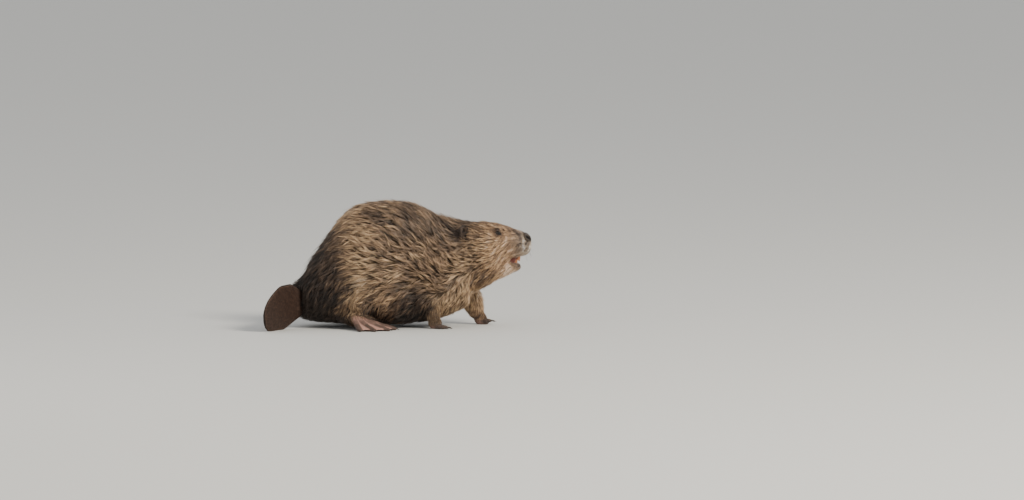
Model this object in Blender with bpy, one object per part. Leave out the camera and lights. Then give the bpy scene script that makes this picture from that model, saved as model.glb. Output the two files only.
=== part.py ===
"""A life-size adult beaver, standing hunched, one forefoot a step ahead and the tail swung to its right.

The outer surface of these solids is the outer surface of the coat. The animal faces +X and +Y is its
left; +Z is up. The flesh is fused into one smooth whole and then parted with thin cuts into the parts
that a person would name. Lengths in the tables are in millimetres. The origin ends up at the bottom
centre of the animal's bounding box.
"""

from math import cos, pi, radians, sin

import bmesh
import bpy
import numpy as np
from mathutils import Matrix, Vector

MM = 0.001
GAP = 0.3  # clearance between neighbouring solids

# Fineness of what is fused: voxel size, smoothing turns and the triangles kept.
BODY_FUSE = (2.4, 6, 1800)
HINDFOOT_FUSE = (1.3, 4, 270)
FOREFOOT_FUSE = (1.1, 3, 160)

# The trunk and the head are lofts of upright sections: x, top, bottom and half width.
TRUNK_SECTIONS = (
    (-262, 100, 44, 30),
    (-246, 132, 24, 60),
    (-220, 179, 14, 90),
    (-182, 239, 10, 114),
    (-142, 292, 7, 129),
    (-100, 320, 7, 137),
    (-50, 329, 7, 139),
    (0, 330, 7, 134),
    (40, 325, 9, 125),
    (80, 309, 14, 114),
    (112, 291, 23, 102),
    (150, 283, 36, 87),
    (188, 277, 56, 72),
)
HEAD_SECTIONS = (
    (150, 282, 54, 82),
    (185, 278, 76, 70),
    (210, 277, 98, 63),
    (235, 275, 126, 57),
    (262, 271, 148, 47),
    (285, 264, 166, 38),
    (305, 256, 176, 32),
    (322, 250, 182, 28),
    (336, 245, 186, 24),
    (345, 238, 192, 19),
    (349, 226, 203, 11),
)
JAW_SECTIONS = (
    (196, 190, 84, 52),
    (232, 178, 102, 49),
    (255, 177, 116, 43),
    (280, 174, 128, 34),
    (300, 170, 137, 26),
    (313, 167, 143, 20),
    (323, 163, 150, 13),
)
SECTION_POINTS = 36
LOFT_RINGS = 44
TRUNK_WAIST = 0.40  # height of the widest level, as a share of the section
HEAD_WAIST = 0.50
BELLY_FULLNESS = 0.72  # an exponent under 1 squares the section off

# Muscles and pads that stand out of the lofts: centre, radii and turn about Y in degrees.
# Each has a mirror image.
HAUNCH = ((-104, 90, 98), (84, 50, 92), 12)
SHOULDER = ((88, 70, 122), (50, 37, 84), -12)
CHEEK = ((232, 36, 178), (36, 22, 38), 0)
WHISKER_PAD = ((320, 15, 206), (24, 17, 19), 8)
BROW = ((262, 26, 254), (22, 13, 9), 8)

EYE_CENTRE = (264, 31.5, 245)
EYE_RADIUS = 7.6
NOSE_CENTRE = (342, 0, 233)
NOSE_RADII = (15, 23, 16)

EAR_CENTRE = (174, 57, 249)
EAR_RADII = (8, 15, 19)  # depth, width and height of the pinna
EAR_HOLLOW = (6.5, 11, 14.5)
EAR_HOLLOW_AHEAD = 6
EAR_YAW = 38  # its opening looks forwards and outwards
EAR_ROLL = 14

# Incisors: centrelines in the midplane, from the gum to the edge.
UPPER_TEETH = ((307, 196), (315, 190), (319, 181), (318, 170))
LOWER_TEETH = ((299, 152), (306, 159), (311, 167), (313, 176))
TEETH_HALF_WIDTH = 7.5
TEETH_HALF_DEPTH = 3.0

# Limbs: x, y outwards, z and radius, from the joint inside the body to the wrist or ankle.
NEAR_ARM = ((92, 74, 118, 38), (88, 80, 78, 29), (93, 80, 48, 22), (97, 78, 26, 17), (99, 77, 14, 14))
FAR_ARM = ((166, 58, 116, 40), (186, 64, 82, 33), (198, 67, 54, 28), (207, 68, 28, 20), (210, 68, 16, 15))
NEAR_SHANK = ((-92, 104, 100, 34), (-104, 110, 72, 27), (-112, 110, 52, 19), (-112, 108, 40, 15))
FAR_SHANK = ((-80, 104, 96, 34), (-90, 108, 62, 26), (-96, 106, 38, 18), (-96, 104, 24, 15))

# Feet: the toes fan out from the wrist or ankle. Angles are outwards from straight ahead.
FOREFOOT_TOES = ((-34, 27), (-15, 33), (2, 35), (19, 33), (37, 26))  # angle, length
FOREFOOT_RADIUS = 4.6
FORE_PALM_RADII = (18, 15, 9)
FORE_CLAW = (16, 2.6)  # length and root radius
HINDFOOT_TOES = ((0, 106), (21, 112), (42, 111), (64, 99), (86, 81))
HINDFOOT_RADIUS = 6.0
HIND_HEEL_RADII = (19, 14, 13)
HIND_CLAW = (13, 3.0)
# How a toe thins: shares of its length and of its radius.
FORE_TOE_PROFILE = ((0, 1.5), (0.35, 1.15), (0.65, 0.95), (0.88, 0.95), (1, 0.7))
HIND_TOE_PROFILE = ((0, 1.9), (0.25, 1.45), (0.55, 1.05), (0.86, 1.0), (1, 0.72))
SOLE_SINK = 0.45  # how much of a toe tip's radius the floor flattens
WEB_THICKNESS = 3.4
WEB_FROM, WEB_TO = 0.22, 0.97  # shares of the toes' length that the web joins
WEB_SAG = 0.09  # how far its front edge curves back between two toes

# How each foot stands: yaw outwards, height of the wrist or ankle, and how far the toe tips are raised.
NEAR_FOREFOOT = (20, 12, 0)
FAR_FOREFOOT = (2, 13, 6)
NEAR_HINDFOOT = (-10, 38, 0)
FAR_HINDFOOT = (-14, 22, 0)

# The tail's centreline with half width, half thickness and the roll of its blade from level, in degrees.
TAIL_SECTIONS = (
    (-205, 0, 92, 44, 34, 0),
    (-236, -14, 84, 42, 26, 30),
    (-254, -38, 76, 41, 17, 64),
    (-270, -70, 69, 48, 12, 84),
    (-287, -104, 60, 58, 10, 94),
    (-304, -138, 52, 66, 8, 99),
    (-318, -168, 44, 63, 6, 101),
    (-331, -190, 38, 48, 4.5, 101),
    (-340, -203, 32, 24, 3, 101),
)
TAIL_BLADE_FROM = 2  # the row where the fur ends and the scaly blade begins
TAIL_SIDES = 18
TAIL_STEPS = 2  # rings for each row

CLAW_SIDES = 5
CLAW_RINGS = 4
CLAW_RISE = 1.6
CLAW_DROOP = 0.17  # how far a claw's tip drops, as a share of its length

# What parts the flesh: planes as a point in the midplane and a lean from upright, and an egg shape
# like the muscles.
NAPE_CUT = ((172, 230), -20)
WITHERS_CUT = ((118, 200), -20)
TAIL_ROOT_CUT = ((-228, 80), 186)
JAW_CUT = ((287, 0, 122), (86, 80, 50), -16)
CUTTER_SEGMENTS = 12

# A leg is parted by a tube that swells over its muscle: shares of the limb's radius, and the cap
# over its top.
FORELEG_CUT = (1.35, 1.35, 1.3, 1.35, 1.5)
HINDLEG_CUT = (1.9, 1.65, 1.45, 1.5)
LEG_CUT_CAP = (40, 0.7)  # height above the limb's top, and share of the cut's radius there
LEG_CUT_OUT = 0.7  # how far the cut stands outwards, as a share of the limb's radius
LEG_CUT_SIDES = 11

MATERIALS = {
    "coat": ((0.20, 0.135, 0.085), 0.75),
    "skin": ((0.24, 0.14, 0.11), 0.6),
    "nose": ((0.06, 0.05, 0.045), 0.45),
    "tail": ((0.085, 0.055, 0.04), 0.5),
    "claw": ((0.07, 0.05, 0.04), 0.4),
    "eye": ((0.02, 0.012, 0.01), 0.08),
    "tooth": ((0.55, 0.24, 0.09), 0.35),
}


def clear_scene():
    for found in list(bpy.data.objects):
        bpy.data.objects.remove(found)


def material(name):
    found = bpy.data.materials.get(name)
    if found is None:
        colour, roughness = MATERIALS[name]
        found = bpy.data.materials.new(name)
        found.use_nodes = True
        shader = found.node_tree.nodes["Principled BSDF"]
        shader.inputs["Base Color"].default_value = (*colour, 1)
        shader.inputs["Roughness"].default_value = roughness
        shader.inputs["Metallic"].default_value = 0
    return found


def new_object(name, bm, slot="coat"):
    """Turns a bmesh in millimetres into an object in metres."""
    bmesh.ops.scale(bm, vec=(MM, MM, MM), verts=bm.verts)
    bmesh.ops.recalc_face_normals(bm, faces=bm.faces)
    mesh = bpy.data.meshes.new(name)
    bm.to_mesh(mesh)
    bm.free()
    made = bpy.data.objects.new(name, mesh)
    bpy.context.scene.collection.objects.link(made)
    made.data.materials.append(material(slot))
    return made


# Shapes


def interpolated(rows, count):
    """Resamples a table smoothly along its rows (Catmull-Rom), to count rows."""
    table = np.array(rows, float)
    padded = np.vstack([2 * table[0] - table[1], table, 2 * table[-1] - table[-2]])
    made = []
    for place in np.linspace(0, len(table) - 1, count):
        i = min(int(place), len(table) - 2)
        t = place - i
        a, b, c, d = padded[i : i + 4]
        bend = (2 * a - 5 * b + 4 * c - d) * t**2
        twist = (3 * b - a - 3 * c + d) * t**3
        made.append(0.5 * (2 * b + (c - a) * t + bend + twist))
    return made


def loft(name, rings, slot="coat"):
    """A closed skin over rings of equal point counts, with flat ends and the same diagonals at any size."""
    bm = bmesh.new()
    rows = [[bm.verts.new(point) for point in ring] for ring in rings]
    sides = len(rows[0])
    for row, following in zip(rows, rows[1:]):
        for i in range(sides):
            j = (i + 1) % sides
            bm.faces.new((row[i], row[j], following[j]))
            bm.faces.new((row[i], following[j], following[i]))
    bm.faces.new(rows[0])
    bm.faces.new(rows[-1])
    return new_object(name, bm, slot)


def upright_section(x, top, bottom, half_width, waist, fullness):
    """A section across X: round above its widest level and squared off below it by fullness."""
    level = bottom + waist * (top - bottom)
    ring = []
    for i in range(SECTION_POINTS):
        angle = 2 * pi * i / SECTION_POINTS
        across, up = cos(angle), sin(angle)
        if up >= 0:
            z = level + (top - level) * up
        else:
            across = abs(across) ** fullness * (1 if across > 0 else -1)
            z = level - (level - bottom) * abs(up) ** fullness
        ring.append((x, half_width * across, z))
    return ring


def upright_loft(name, sections, waist, fullness=1.0):
    rows = interpolated(sections, LOFT_RINGS)
    return loft(name, [upright_section(*row, waist, fullness) for row in rows])


def tube(name, rows, sides=14, rings=12):
    """A limb along a centreline of x, y, z and radius, with sections square to it."""
    path = interpolated(rows, rings)
    made = []
    for i, row in enumerate(path):
        ahead = Vector(path[min(i + 1, rings - 1)][:3]) - Vector(path[max(i - 1, 0)][:3])
        turn = ahead.to_track_quat("Z", "X").to_matrix()
        ring = []
        for k in range(sides):
            angle = 2 * pi * k / sides
            ring.append(Vector(row[:3]) + turn @ Vector((cos(angle), sin(angle), 0)) * row[3])
        made.append(ring)
    return loft(name, made)


def ellipsoid(name, centre, radii, pitch=0, segments=32, slot="coat"):
    bm = bmesh.new()
    bmesh.ops.create_uvsphere(bm, u_segments=segments, v_segments=segments // 2, radius=1)
    turn = Matrix.Rotation(radians(pitch), 4, "Y")
    place = Matrix.Translation(centre) @ turn @ Matrix.Diagonal((*radii, 1))
    bmesh.ops.transform(bm, matrix=place, verts=bm.verts)
    return new_object(name, bm, slot)


def block(name, low, high):
    bm = bmesh.new()
    bmesh.ops.create_cube(bm, size=1)
    centre = [(a + b) / 2 for a, b in zip(low, high)]
    size = [b - a for a, b in zip(low, high)]
    bmesh.ops.transform(bm, matrix=Matrix.Translation(centre) @ Matrix.Diagonal((*size, 1)), verts=bm.verts)
    return new_object(name, bm)


# Joining and cutting


def apply_modifiers(made):
    graph = bpy.context.evaluated_depsgraph_get()
    mesh = bpy.data.meshes.new_from_object(made.evaluated_get(graph))
    made.modifiers.clear()
    made.data = mesh
    return made


def boolean(made, operation, other, solver="EXACT"):
    """Applies the other solid to this one, and uses it up."""
    cut = made.modifiers.new("boolean", "BOOLEAN")
    cut.operation, cut.object, cut.solver = operation, other, solver
    apply_modifiers(made)
    bpy.data.objects.remove(other)
    return made


def copy_of(made, name):
    twin = made.copy()
    twin.data = made.data.copy()
    twin.name = name
    bpy.context.scene.collection.objects.link(twin)
    return twin


def grown(made):
    """A copy of a solid that is GAP larger all round: the socket it needs in its neighbour."""
    twin = copy_of(made, "socket")
    grow = twin.modifiers.new("grow", "DISPLACE")
    grow.strength, grow.mid_level = GAP * MM, 0
    return apply_modifiers(twin)


def fused(name, pieces, fineness):
    """Melts overlapping closed pieces into one smooth mesh."""
    voxel, turns, triangles = fineness
    bm = bmesh.new()
    for piece in pieces:
        bm.from_mesh(piece.data)
        bpy.data.objects.remove(piece)
    bmesh.ops.scale(bm, vec=(1 / MM,) * 3, verts=bm.verts)
    whole = new_object(name, bm)
    melt = whole.modifiers.new("melt", "REMESH")
    melt.mode, melt.voxel_size, melt.adaptivity = "VOXEL", voxel * MM, 0
    ease = whole.modifiers.new("ease", "SMOOTH")
    ease.factor, ease.iterations = 0.5, turns
    apply_modifiers(whole)
    thin = whole.modifiers.new("thin", "DECIMATE")
    thin.ratio = triangles / sum(len(face.vertices) - 2 for face in whole.data.polygons)
    return apply_modifiers(whole)


def keep_largest(made, slot="coat"):
    """Drops the crumbs that a cut can leave, so that a node is one body."""
    bm = bmesh.new()
    bm.from_mesh(made.data)
    island = {}
    for seed in bm.verts:
        if seed in island:
            continue
        island[seed] = seed.index
        queue = [seed]
        while queue:
            for edge in queue.pop().link_edges:
                for vert in edge.verts:
                    if vert not in island:
                        island[vert] = seed.index
                        queue.append(vert)
    marks = list(island.values())
    largest = max(set(marks), key=marks.count)
    bmesh.ops.delete(bm, geom=[v for v, mark in island.items() if mark != largest], context="VERTS")
    bm.to_mesh(made.data)
    bm.free()
    made.data.materials.clear()
    made.data.materials.append(material(slot))
    return made


def part_off(whole, name, cutter_at, slot="coat"):
    """Moves what the cutter covers out of whole into its own object, with GAP between the two."""
    piece = boolean(copy_of(whole, name), "INTERSECT", cutter_at(-GAP / 2), "MANIFOLD")
    boolean(whole, "DIFFERENCE", cutter_at(GAP / 2), "MANIFOLD")
    return keep_largest(piece, slot)


def mirrored(spec, side):
    """A muscle on one side of the body: side is 1 on the left and -1 on the right."""
    (x, y, z), radii, pitch = spec
    return (x, side * y, z), radii, pitch


def egg_cutter(spec):
    """A cutter for part_off in the shape of a muscle."""
    centre, radii, pitch = spec
    return lambda grow: ellipsoid("cutter", centre, [r + grow for r in radii], pitch, CUTTER_SEGMENTS)


def plane_cutter(cut):
    """A cutter for part_off that covers all that lies ahead of a plane across the body."""
    (x, z), lean = cut
    reach = 700

    def cutter_at(grow):
        made = block("cutter", (-grow, -reach, -reach), (reach, reach, reach))
        place = Matrix.Translation(Vector((x, 0, z)) * MM)
        made.data.transform(place @ Matrix.Rotation(radians(lean), 4, "Y"))
        return made

    return cutter_at


def leg_cutter(limb, side, shares):
    """A cutter for part_off round a whole leg, down to below the floor, in level sections."""
    rows = [(x, side * (y + LEG_CUT_OUT * r), z, r * share) for (x, y, z, r), share in zip(limb, shares)]
    x, y, z, r = rows[0]
    rise, share = LEG_CUT_CAP
    rows.insert(0, (x, y, z + rise, r * share))
    x, y, z, r = rows[-1]
    rows.append((x, y, z - 60, r))

    def cutter_at(grow):
        rings = []
        for i, (x, y, z, r) in enumerate(rows):
            level = z + (grow if i == 0 else 0)
            ring = []
            for k in range(LEG_CUT_SIDES):
                angle = 2 * pi * k / LEG_CUT_SIDES
                ring.append((x + (r + grow) * cos(angle), y + (r + grow) * sin(angle), level))
            rings.append(ring)
        return loft("cutter", rings)

    return cutter_at


def stand_on_floor(made):
    """Cuts the underside flat at the floor."""
    return boolean(made, "DIFFERENCE", block("floor", (-600, -600, -60), (600, 600, 0)))


# Feet, claws, ears, teeth and tail


def toe_path(root, tip, radius, profile):
    """A toe's centreline: it slopes down from its root and levels out towards its tip."""
    rows = []
    for share, thickness in profile:
        place = root.lerp(tip, share)
        place.z = tip.z + (root.z - tip.z) * (1 - share) ** 1.4
        rows.append((*place, radius * thickness))
    return rows


def web(name, first, second):
    """The skin between two toes: a slab along both, whose front edge curves back."""
    steps, across = 8, 5
    paths = [[Vector(row[:3]) for row in interpolated(toe, 41)] for toe in (first, second)]
    bm = bmesh.new()
    layers = []
    for height in (WEB_THICKNESS / 2, -WEB_THICKNESS / 2):
        grid = []
        for i in range(steps):
            row = []
            for j in range(across):
                beside = j / (across - 1)
                reach = WEB_TO - WEB_SAG * sin(pi * beside)
                place = round(40 * (WEB_FROM + (reach - WEB_FROM) * i / (steps - 1)))
                middle = paths[0][place].lerp(paths[1][place], beside)
                row.append(bm.verts.new(middle + Vector((0, 0, height))))
            grid.append(row)
        layers.append(grid)
    for grid in layers:
        for row, following in zip(grid, grid[1:]):
            for j in range(across - 1):
                bm.faces.new((row[j], row[j + 1], following[j + 1], following[j]))
    rims = []
    for grid in layers:
        beyond = [row[-1] for row in grid[1:]]
        back = [row[0] for row in grid[-2:0:-1]]
        rims.append([*grid[0], *beyond, *grid[-1][-2::-1], *back])
    for i in range(len(rims[0])):
        j = (i + 1) % len(rims[0])
        bm.faces.new((rims[0][i], rims[0][j], rims[1][j], rims[1][i]))
    return new_object(name, bm)


def foot(name, limb, side, pose, fore):
    """A foot as one solid, and where each of its claws goes."""
    yaw, height, lift = pose
    toes, radius, profile = FOREFOOT_TOES, FOREFOOT_RADIUS, FORE_TOE_PROFILE
    heel_radii, size, fineness = FORE_PALM_RADII, FORE_CLAW, FOREFOOT_FUSE
    if not fore:
        toes, radius, profile = HINDFOOT_TOES, HINDFOOT_RADIUS, HIND_TOE_PROFILE
        heel_radii, size, fineness = HIND_HEEL_RADII, HIND_CLAW, HINDFOOT_FUSE
    root = Vector((limb[-1][0], side * limb[-1][1], height))
    pieces = [ellipsoid(f"{name}_heel", root - Vector((0, 0, 3)), heel_radii)]
    paths, claws = [], []
    for i, (angle, length) in enumerate(toes):
        turn = radians(angle + yaw)
        tip = root + Vector((cos(turn), side * sin(turn), 0)) * length
        tip.z = radius * profile[-1][1] * (1 - SOLE_SINK) + lift
        paths.append(toe_path(root, tip, radius, profile))
        pieces.append(tube(f"{name}_toe_{i + 1}", paths[-1]))
        ahead = Vector(paths[-1][-1][:3]) - Vector(paths[-1][-2][:3])
        claws.append((f"{name}_claw_{i + 1}", tip, Vector((ahead.x, ahead.y, 0)).normalized(), size))
    if fore:
        pad = root + Vector((cos(radians(yaw)), side * sin(radians(yaw)), 0)) * 8
        pieces.append(ellipsoid(f"{name}_pad", (pad.x, pad.y, 5), (15, 14, 7)))
    else:
        for i in range(len(paths) - 1):
            pieces.append(web(f"{name}_web_{i + 1}", paths[i], paths[i + 1]))
    return stand_on_floor(fused(name, pieces, fineness)), claws


def claw(name, tip, ahead, size, socket=False):
    """A curved cone out of a toe's tip, or the socket that its root needs."""
    length, radius = size
    start = tip - ahead * radius + Vector((0, 0, CLAW_RISE))
    side = ahead.cross(Vector((0, 0, 1)))
    rings = []
    for i in range(2 if socket else CLAW_RINGS):
        share = i / (CLAW_RINGS - 1)
        middle = start + ahead * (length * share) - Vector((0, 0, length * CLAW_DROOP * share**2))
        reach = radius * (1 - 0.86 * share)
        if socket:
            reach += GAP
            middle -= ahead * GAP * (1 - i)
        ring = []
        for k in range(CLAW_SIDES):
            angle = 2 * pi * k / CLAW_SIDES
            ring.append(middle + side * cos(angle) * reach + Vector((0, 0, sin(angle) * reach)))
        rings.append(ring)
    return loft(name, rings, "claw")


def incisors(name, profile, socket=False):
    """A pair of incisors as one curved bar that thins to an edge, or the socket that it needs."""
    path = interpolated([(x, 0, z) for x, z in profile], 5)
    grow = GAP if socket else 0
    rings = []
    for i, point in enumerate(path):
        share = i / (len(path) - 1)
        ahead = Vector(path[min(i + 1, len(path) - 1)] - path[max(i - 1, 0)]).normalized()
        through = Vector((-ahead.z, 0, ahead.x))
        middle = Vector(point) + ahead * grow * (2 * share - 1)
        depth = TEETH_HALF_DEPTH * (1 - 0.55 * share**3) + grow
        ring = []
        for k in range(8):
            angle = 2 * pi * (k + 0.5) / 8
            across = Vector((0, TEETH_HALF_WIDTH + grow, 0))
            ring.append(middle + through * depth * sin(angle) + across * cos(angle))
        rings.append(ring)
    return loft(name, rings, "tooth")


def ear(name, side):
    """A short rounded pinna, hollow on the side that looks forwards and outwards."""
    yaw = Matrix.Rotation(radians(side * EAR_YAW), 4, "Z")
    roll = Matrix.Rotation(radians(-side * EAR_ROLL), 4, "X")
    centre = Vector((EAR_CENTRE[0], side * EAR_CENTRE[1], EAR_CENTRE[2]))
    shell = ellipsoid(name, (0, 0, 0), EAR_RADII, segments=12)
    boolean(shell, "DIFFERENCE", ellipsoid("hollow", (EAR_HOLLOW_AHEAD, 0, 0), EAR_HOLLOW, segments=10))
    shell.data.transform(Matrix.Translation(centre * MM) @ yaw @ roll)
    return shell


def tail_rings(first, last, grow=0.0):
    """Sections of the tail between two rows of TAIL_SECTIONS: flat ovals, rolled about the centreline."""
    steps = TAIL_STEPS * (len(TAIL_SECTIONS) - 1)
    path = interpolated(TAIL_SECTIONS, steps + 1)
    rings = []
    begin, end = TAIL_STEPS * first, TAIL_STEPS * last
    for i in range(begin, end + 1):
        ahead = (Vector(path[min(i + 1, steps)][:3]) - Vector(path[max(i - 1, 0)][:3])).normalized()
        level = Vector((ahead.y, -ahead.x, 0)).normalized()
        upward = level.cross(ahead)
        x, y, z, half_width, half_depth, roll = path[i]
        across = level * cos(radians(roll)) + upward * sin(radians(roll))
        through = ahead.cross(across)
        ring = []
        for k in range(TAIL_SIDES):
            angle = 2 * pi * k / TAIL_SIDES
            wide = across * (half_width + grow) * cos(angle)
            deep = through * (half_depth + grow) * sin(angle)
            ring.append(Vector((x, y, z)) + wide + deep + ahead * grow * ((i == end) - (i == begin)))
        rings.append(ring)
    return rings


# The animal


LIMBS = (
    ("right", -1, NEAR_ARM, NEAR_FOREFOOT, NEAR_SHANK, NEAR_HINDFOOT),
    ("left", 1, FAR_ARM, FAR_FOREFOOT, FAR_SHANK, FAR_HINDFOOT),
)


def body_whole():
    """Trunk, head, muscles and limbs down to wrist and ankle, as one smooth solid."""
    pieces = [
        upright_loft("trunk_mass", TRUNK_SECTIONS, TRUNK_WAIST, BELLY_FULLNESS),
        upright_loft("head_mass", HEAD_SECTIONS, HEAD_WAIST),
        upright_loft("jaw_mass", JAW_SECTIONS, HEAD_WAIST),
        loft("tail_root_mass", tail_rings(0, TAIL_BLADE_FROM)),
    ]
    for _, side, arm, _, shank, _ in LIMBS:
        for spec in (HAUNCH, SHOULDER, CHEEK, WHISKER_PAD, BROW):
            pieces.append(ellipsoid("muscle", *mirrored(spec, side)))
        for limb in (arm, shank):
            pieces.append(tube("limb", [(x, side * y, z, r) for x, y, z, r in limb]))
    return fused("trunk", pieces, BODY_FUSE)


def build_feet(body):
    """The feet with their claws, each let into its neighbour."""
    nodes = []
    for word, side, arm, forefoot, shank, hindfoot in LIMBS:
        feet = (("forefoot", arm, forefoot, True), ("hindfoot", shank, hindfoot, False))
        for name, limb, pose, fore in feet:
            made, claws = foot(f"{name}_{word}", limb, side, pose, fore)
            boolean(body, "DIFFERENCE", grown(made))
            for label, tip, ahead, size in claws:
                boolean(made, "DIFFERENCE", claw("socket", tip, ahead, size, socket=True))
                nodes.append(claw(label, tip, ahead, size))
            nodes.append(keep_largest(made, "skin"))
    return nodes


def build_senses(body):
    """Eyes, ears and incisors, each let into the head."""
    nodes = []
    for word, side, *_ in LIMBS:
        eye_at = (EYE_CENTRE[0], side * EYE_CENTRE[1], EYE_CENTRE[2])
        boolean(body, "DIFFERENCE", ellipsoid("socket", eye_at, (EYE_RADIUS + GAP,) * 3, segments=12))
        nodes.append(ellipsoid(f"eye_{word}", eye_at, (EYE_RADIUS,) * 3, segments=12, slot="eye"))
        nodes.append(ear(f"ear_{word}", side))
        boolean(body, "DIFFERENCE", grown(nodes[-1]))
    for name, profile in (("incisors_upper", UPPER_TEETH), ("incisors_lower", LOWER_TEETH)):
        boolean(body, "DIFFERENCE", incisors("socket", profile, socket=True))
        nodes.append(incisors(name, profile))
    return nodes


def build_beaver():
    body = body_whole()
    last = len(TAIL_SECTIONS) - 1
    boolean(body, "DIFFERENCE", loft("socket", tail_rings(TAIL_BLADE_FROM, last, GAP)))
    nodes = [stand_on_floor(loft("tail_blade", tail_rings(TAIL_BLADE_FROM, last), "tail"))]
    nodes += build_feet(body)
    nodes += build_senses(body)
    for word, side, arm, _, shank, _ in LIMBS:
        nodes.append(part_off(body, f"foreleg_{word}", leg_cutter(arm, side, FORELEG_CUT)))
        nodes.append(part_off(body, f"hindleg_{word}", leg_cutter(shank, side, HINDLEG_CUT)))
    nodes.append(part_off(body, "nose", egg_cutter((NOSE_CENTRE, NOSE_RADII, 0)), "nose"))
    nodes.append(part_off(body, "lower_jaw", egg_cutter(JAW_CUT)))
    nodes.append(part_off(body, "head", plane_cutter(NAPE_CUT)))
    nodes.append(part_off(body, "neck", plane_cutter(WITHERS_CUT)))
    nodes.append(part_off(body, "tail_root", plane_cutter(TAIL_ROOT_CUT)))
    nodes.append(keep_largest(body))
    return nodes


def centre_on_origin(nodes):
    """Moves everything so that the bounding box stands centred on the origin."""
    corners = np.array([v.co for node in nodes for v in node.data.vertices])
    low, high = corners.min(0), corners.max(0)
    shift = Vector((-(low[0] + high[0]) / 2, -(low[1] + high[1]) / 2, -low[2]))
    for node in nodes:
        node.data.transform(Matrix.Translation(shift))


def main():
    clear_scene()
    nodes = build_beaver()
    centre_on_origin(nodes)
    for node in nodes:
        node.data.shade_smooth()
        node.data.set_sharp_from_angle(angle=radians(50))


main()
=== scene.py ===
"""The looks of a life-size beaver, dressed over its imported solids.

One skin is drawn in from the solids of flesh by the depth of the coat. Locks of fur, each hair a thin
closed horn, grow out of it along the lie of the coat and reach the solids' outline. Eyes, claws,
incisors, tail blade and whiskers are pieces of their own. Each section starts with its own sizes:
lengths in millimetres and angles in degrees where no comment says otherwise, in the frame's axes,
+X towards the nose, +Y to the animal's left and +Z up from the floor.
"""

from contextlib import contextmanager  # noqa: E402
from math import cos, pi, radians, sin  # noqa: E402

import bmesh  # noqa: E402
import bpy  # noqa: E402
import numpy as np  # noqa: E402
from mathutils import Matrix, Vector  # noqa: E402
from mathutils.bvhtree import BVHTree  # noqa: E402
from mathutils.kdtree import KDTree  # noqa: E402

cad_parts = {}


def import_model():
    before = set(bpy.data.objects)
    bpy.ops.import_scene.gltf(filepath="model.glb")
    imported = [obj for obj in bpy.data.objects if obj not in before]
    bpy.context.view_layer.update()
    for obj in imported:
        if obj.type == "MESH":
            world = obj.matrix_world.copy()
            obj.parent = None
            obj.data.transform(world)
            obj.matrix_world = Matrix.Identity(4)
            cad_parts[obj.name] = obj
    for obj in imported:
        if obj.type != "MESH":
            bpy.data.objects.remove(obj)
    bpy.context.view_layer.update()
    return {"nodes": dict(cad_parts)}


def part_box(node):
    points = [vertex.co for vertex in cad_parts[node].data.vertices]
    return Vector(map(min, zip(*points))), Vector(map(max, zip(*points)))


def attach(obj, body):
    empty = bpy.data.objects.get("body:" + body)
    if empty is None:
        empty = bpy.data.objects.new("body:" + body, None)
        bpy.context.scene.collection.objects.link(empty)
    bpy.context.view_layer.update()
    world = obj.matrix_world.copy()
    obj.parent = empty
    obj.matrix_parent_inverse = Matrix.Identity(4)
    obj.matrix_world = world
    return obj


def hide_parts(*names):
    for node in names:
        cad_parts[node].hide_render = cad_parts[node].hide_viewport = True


MM = 0.001
FAR = 1e9
SIDES = (("right", -1), ("left", 1))

# Each slow wander of the coat has a seed of its own, and so have the whiskers.
SEED = 11
SWAY_SEED, RIPPLE_SEED, BEND_SEED, MUZZLE_SEED = range(SEED, SEED + 4)
BODY_SEED, WHISKER_SEED, BORDER_SEED, STREAK_SEED = range(SEED + 4, SEED + 8)
SWIRL_WAVES, SWIRL_SCALE = (1.0, 0.61, 0.37), 2.2

# The nodes of flesh that the skin stands for.
FLESH = ("trunk", "neck", "head", "lower_jaw", "nose", "tail_root")
FEET = ("forefoot", "hindfoot")
FOOT_NAMES = tuple(f"{foot}_{side}" for foot in FEET for side, _ in SIDES)
EAR_NAMES = tuple(f"ear_{side}" for side, _ in SIDES)
FLESH_NAMES = (*FLESH, *(f"{leg}_{side}" for leg in ("foreleg", "hindleg") for side, _ in SIDES))


# Numbers


def smoothstep(low, high, value):
    t = np.clip((value - low) / (high - low), 0, 1)
    return t * t * (3 - 2 * t)


def fade(low, high, value):
    """1 up to low, falling to 0 at high."""
    return 1 - smoothstep(low, high, value)


def between(first, second, share):
    return first + (second - first) * share


def unit(vectors):
    return vectors / np.maximum(np.linalg.norm(vectors, axis=-1, keepdims=True), 1e-9)


def distances(points, place):
    return np.linalg.norm(points - place, axis=1)


def near_segment(points, start, end):
    """Distance of points from a straight stretch."""
    start, end = np.asarray(start, float), np.asarray(end, float)
    share = np.clip((points - start) @ (end - start) / ((end - start) @ (end - start)), 0, 1)
    return np.linalg.norm(points - start - share[:, None] * (end - start), axis=1)


def bell(offset, width):
    """1 at no offset, and next to nothing past twice the width."""
    return np.exp(-((offset / width) ** 2))


def swirl(points, seed, wave):
    """A slow wander, mostly between -1 and 1, the same at every run."""
    rng = np.random.default_rng(seed)
    total = np.zeros(len(points))
    for size in SWIRL_WAVES:
        way = unit(rng.normal(size=(1, 3)))[0]
        total += np.sin(points @ way * 2 * pi / (wave * size) + rng.uniform(0, 2 * pi))
    return total / SWIRL_SCALE


def all_round(count):
    """Angles of a full turn, in radians."""
    return [2 * pi * k / count for k in range(count)]


# Meshes

FINE_STEPS, EASED_STEPS = 101, 6  # of a profile, and how many on either side are averaged
LIMB_SIDES, BALL_GRID = 16, (32, 16)
CAP_SHARES = (0.6, 0.92)  # where a limb's rounded ends have rings, from the last ring to the tip


def linked(name, data):
    made = bpy.data.objects.new(name, data)
    bpy.context.scene.collection.objects.link(made)
    return made


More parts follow.
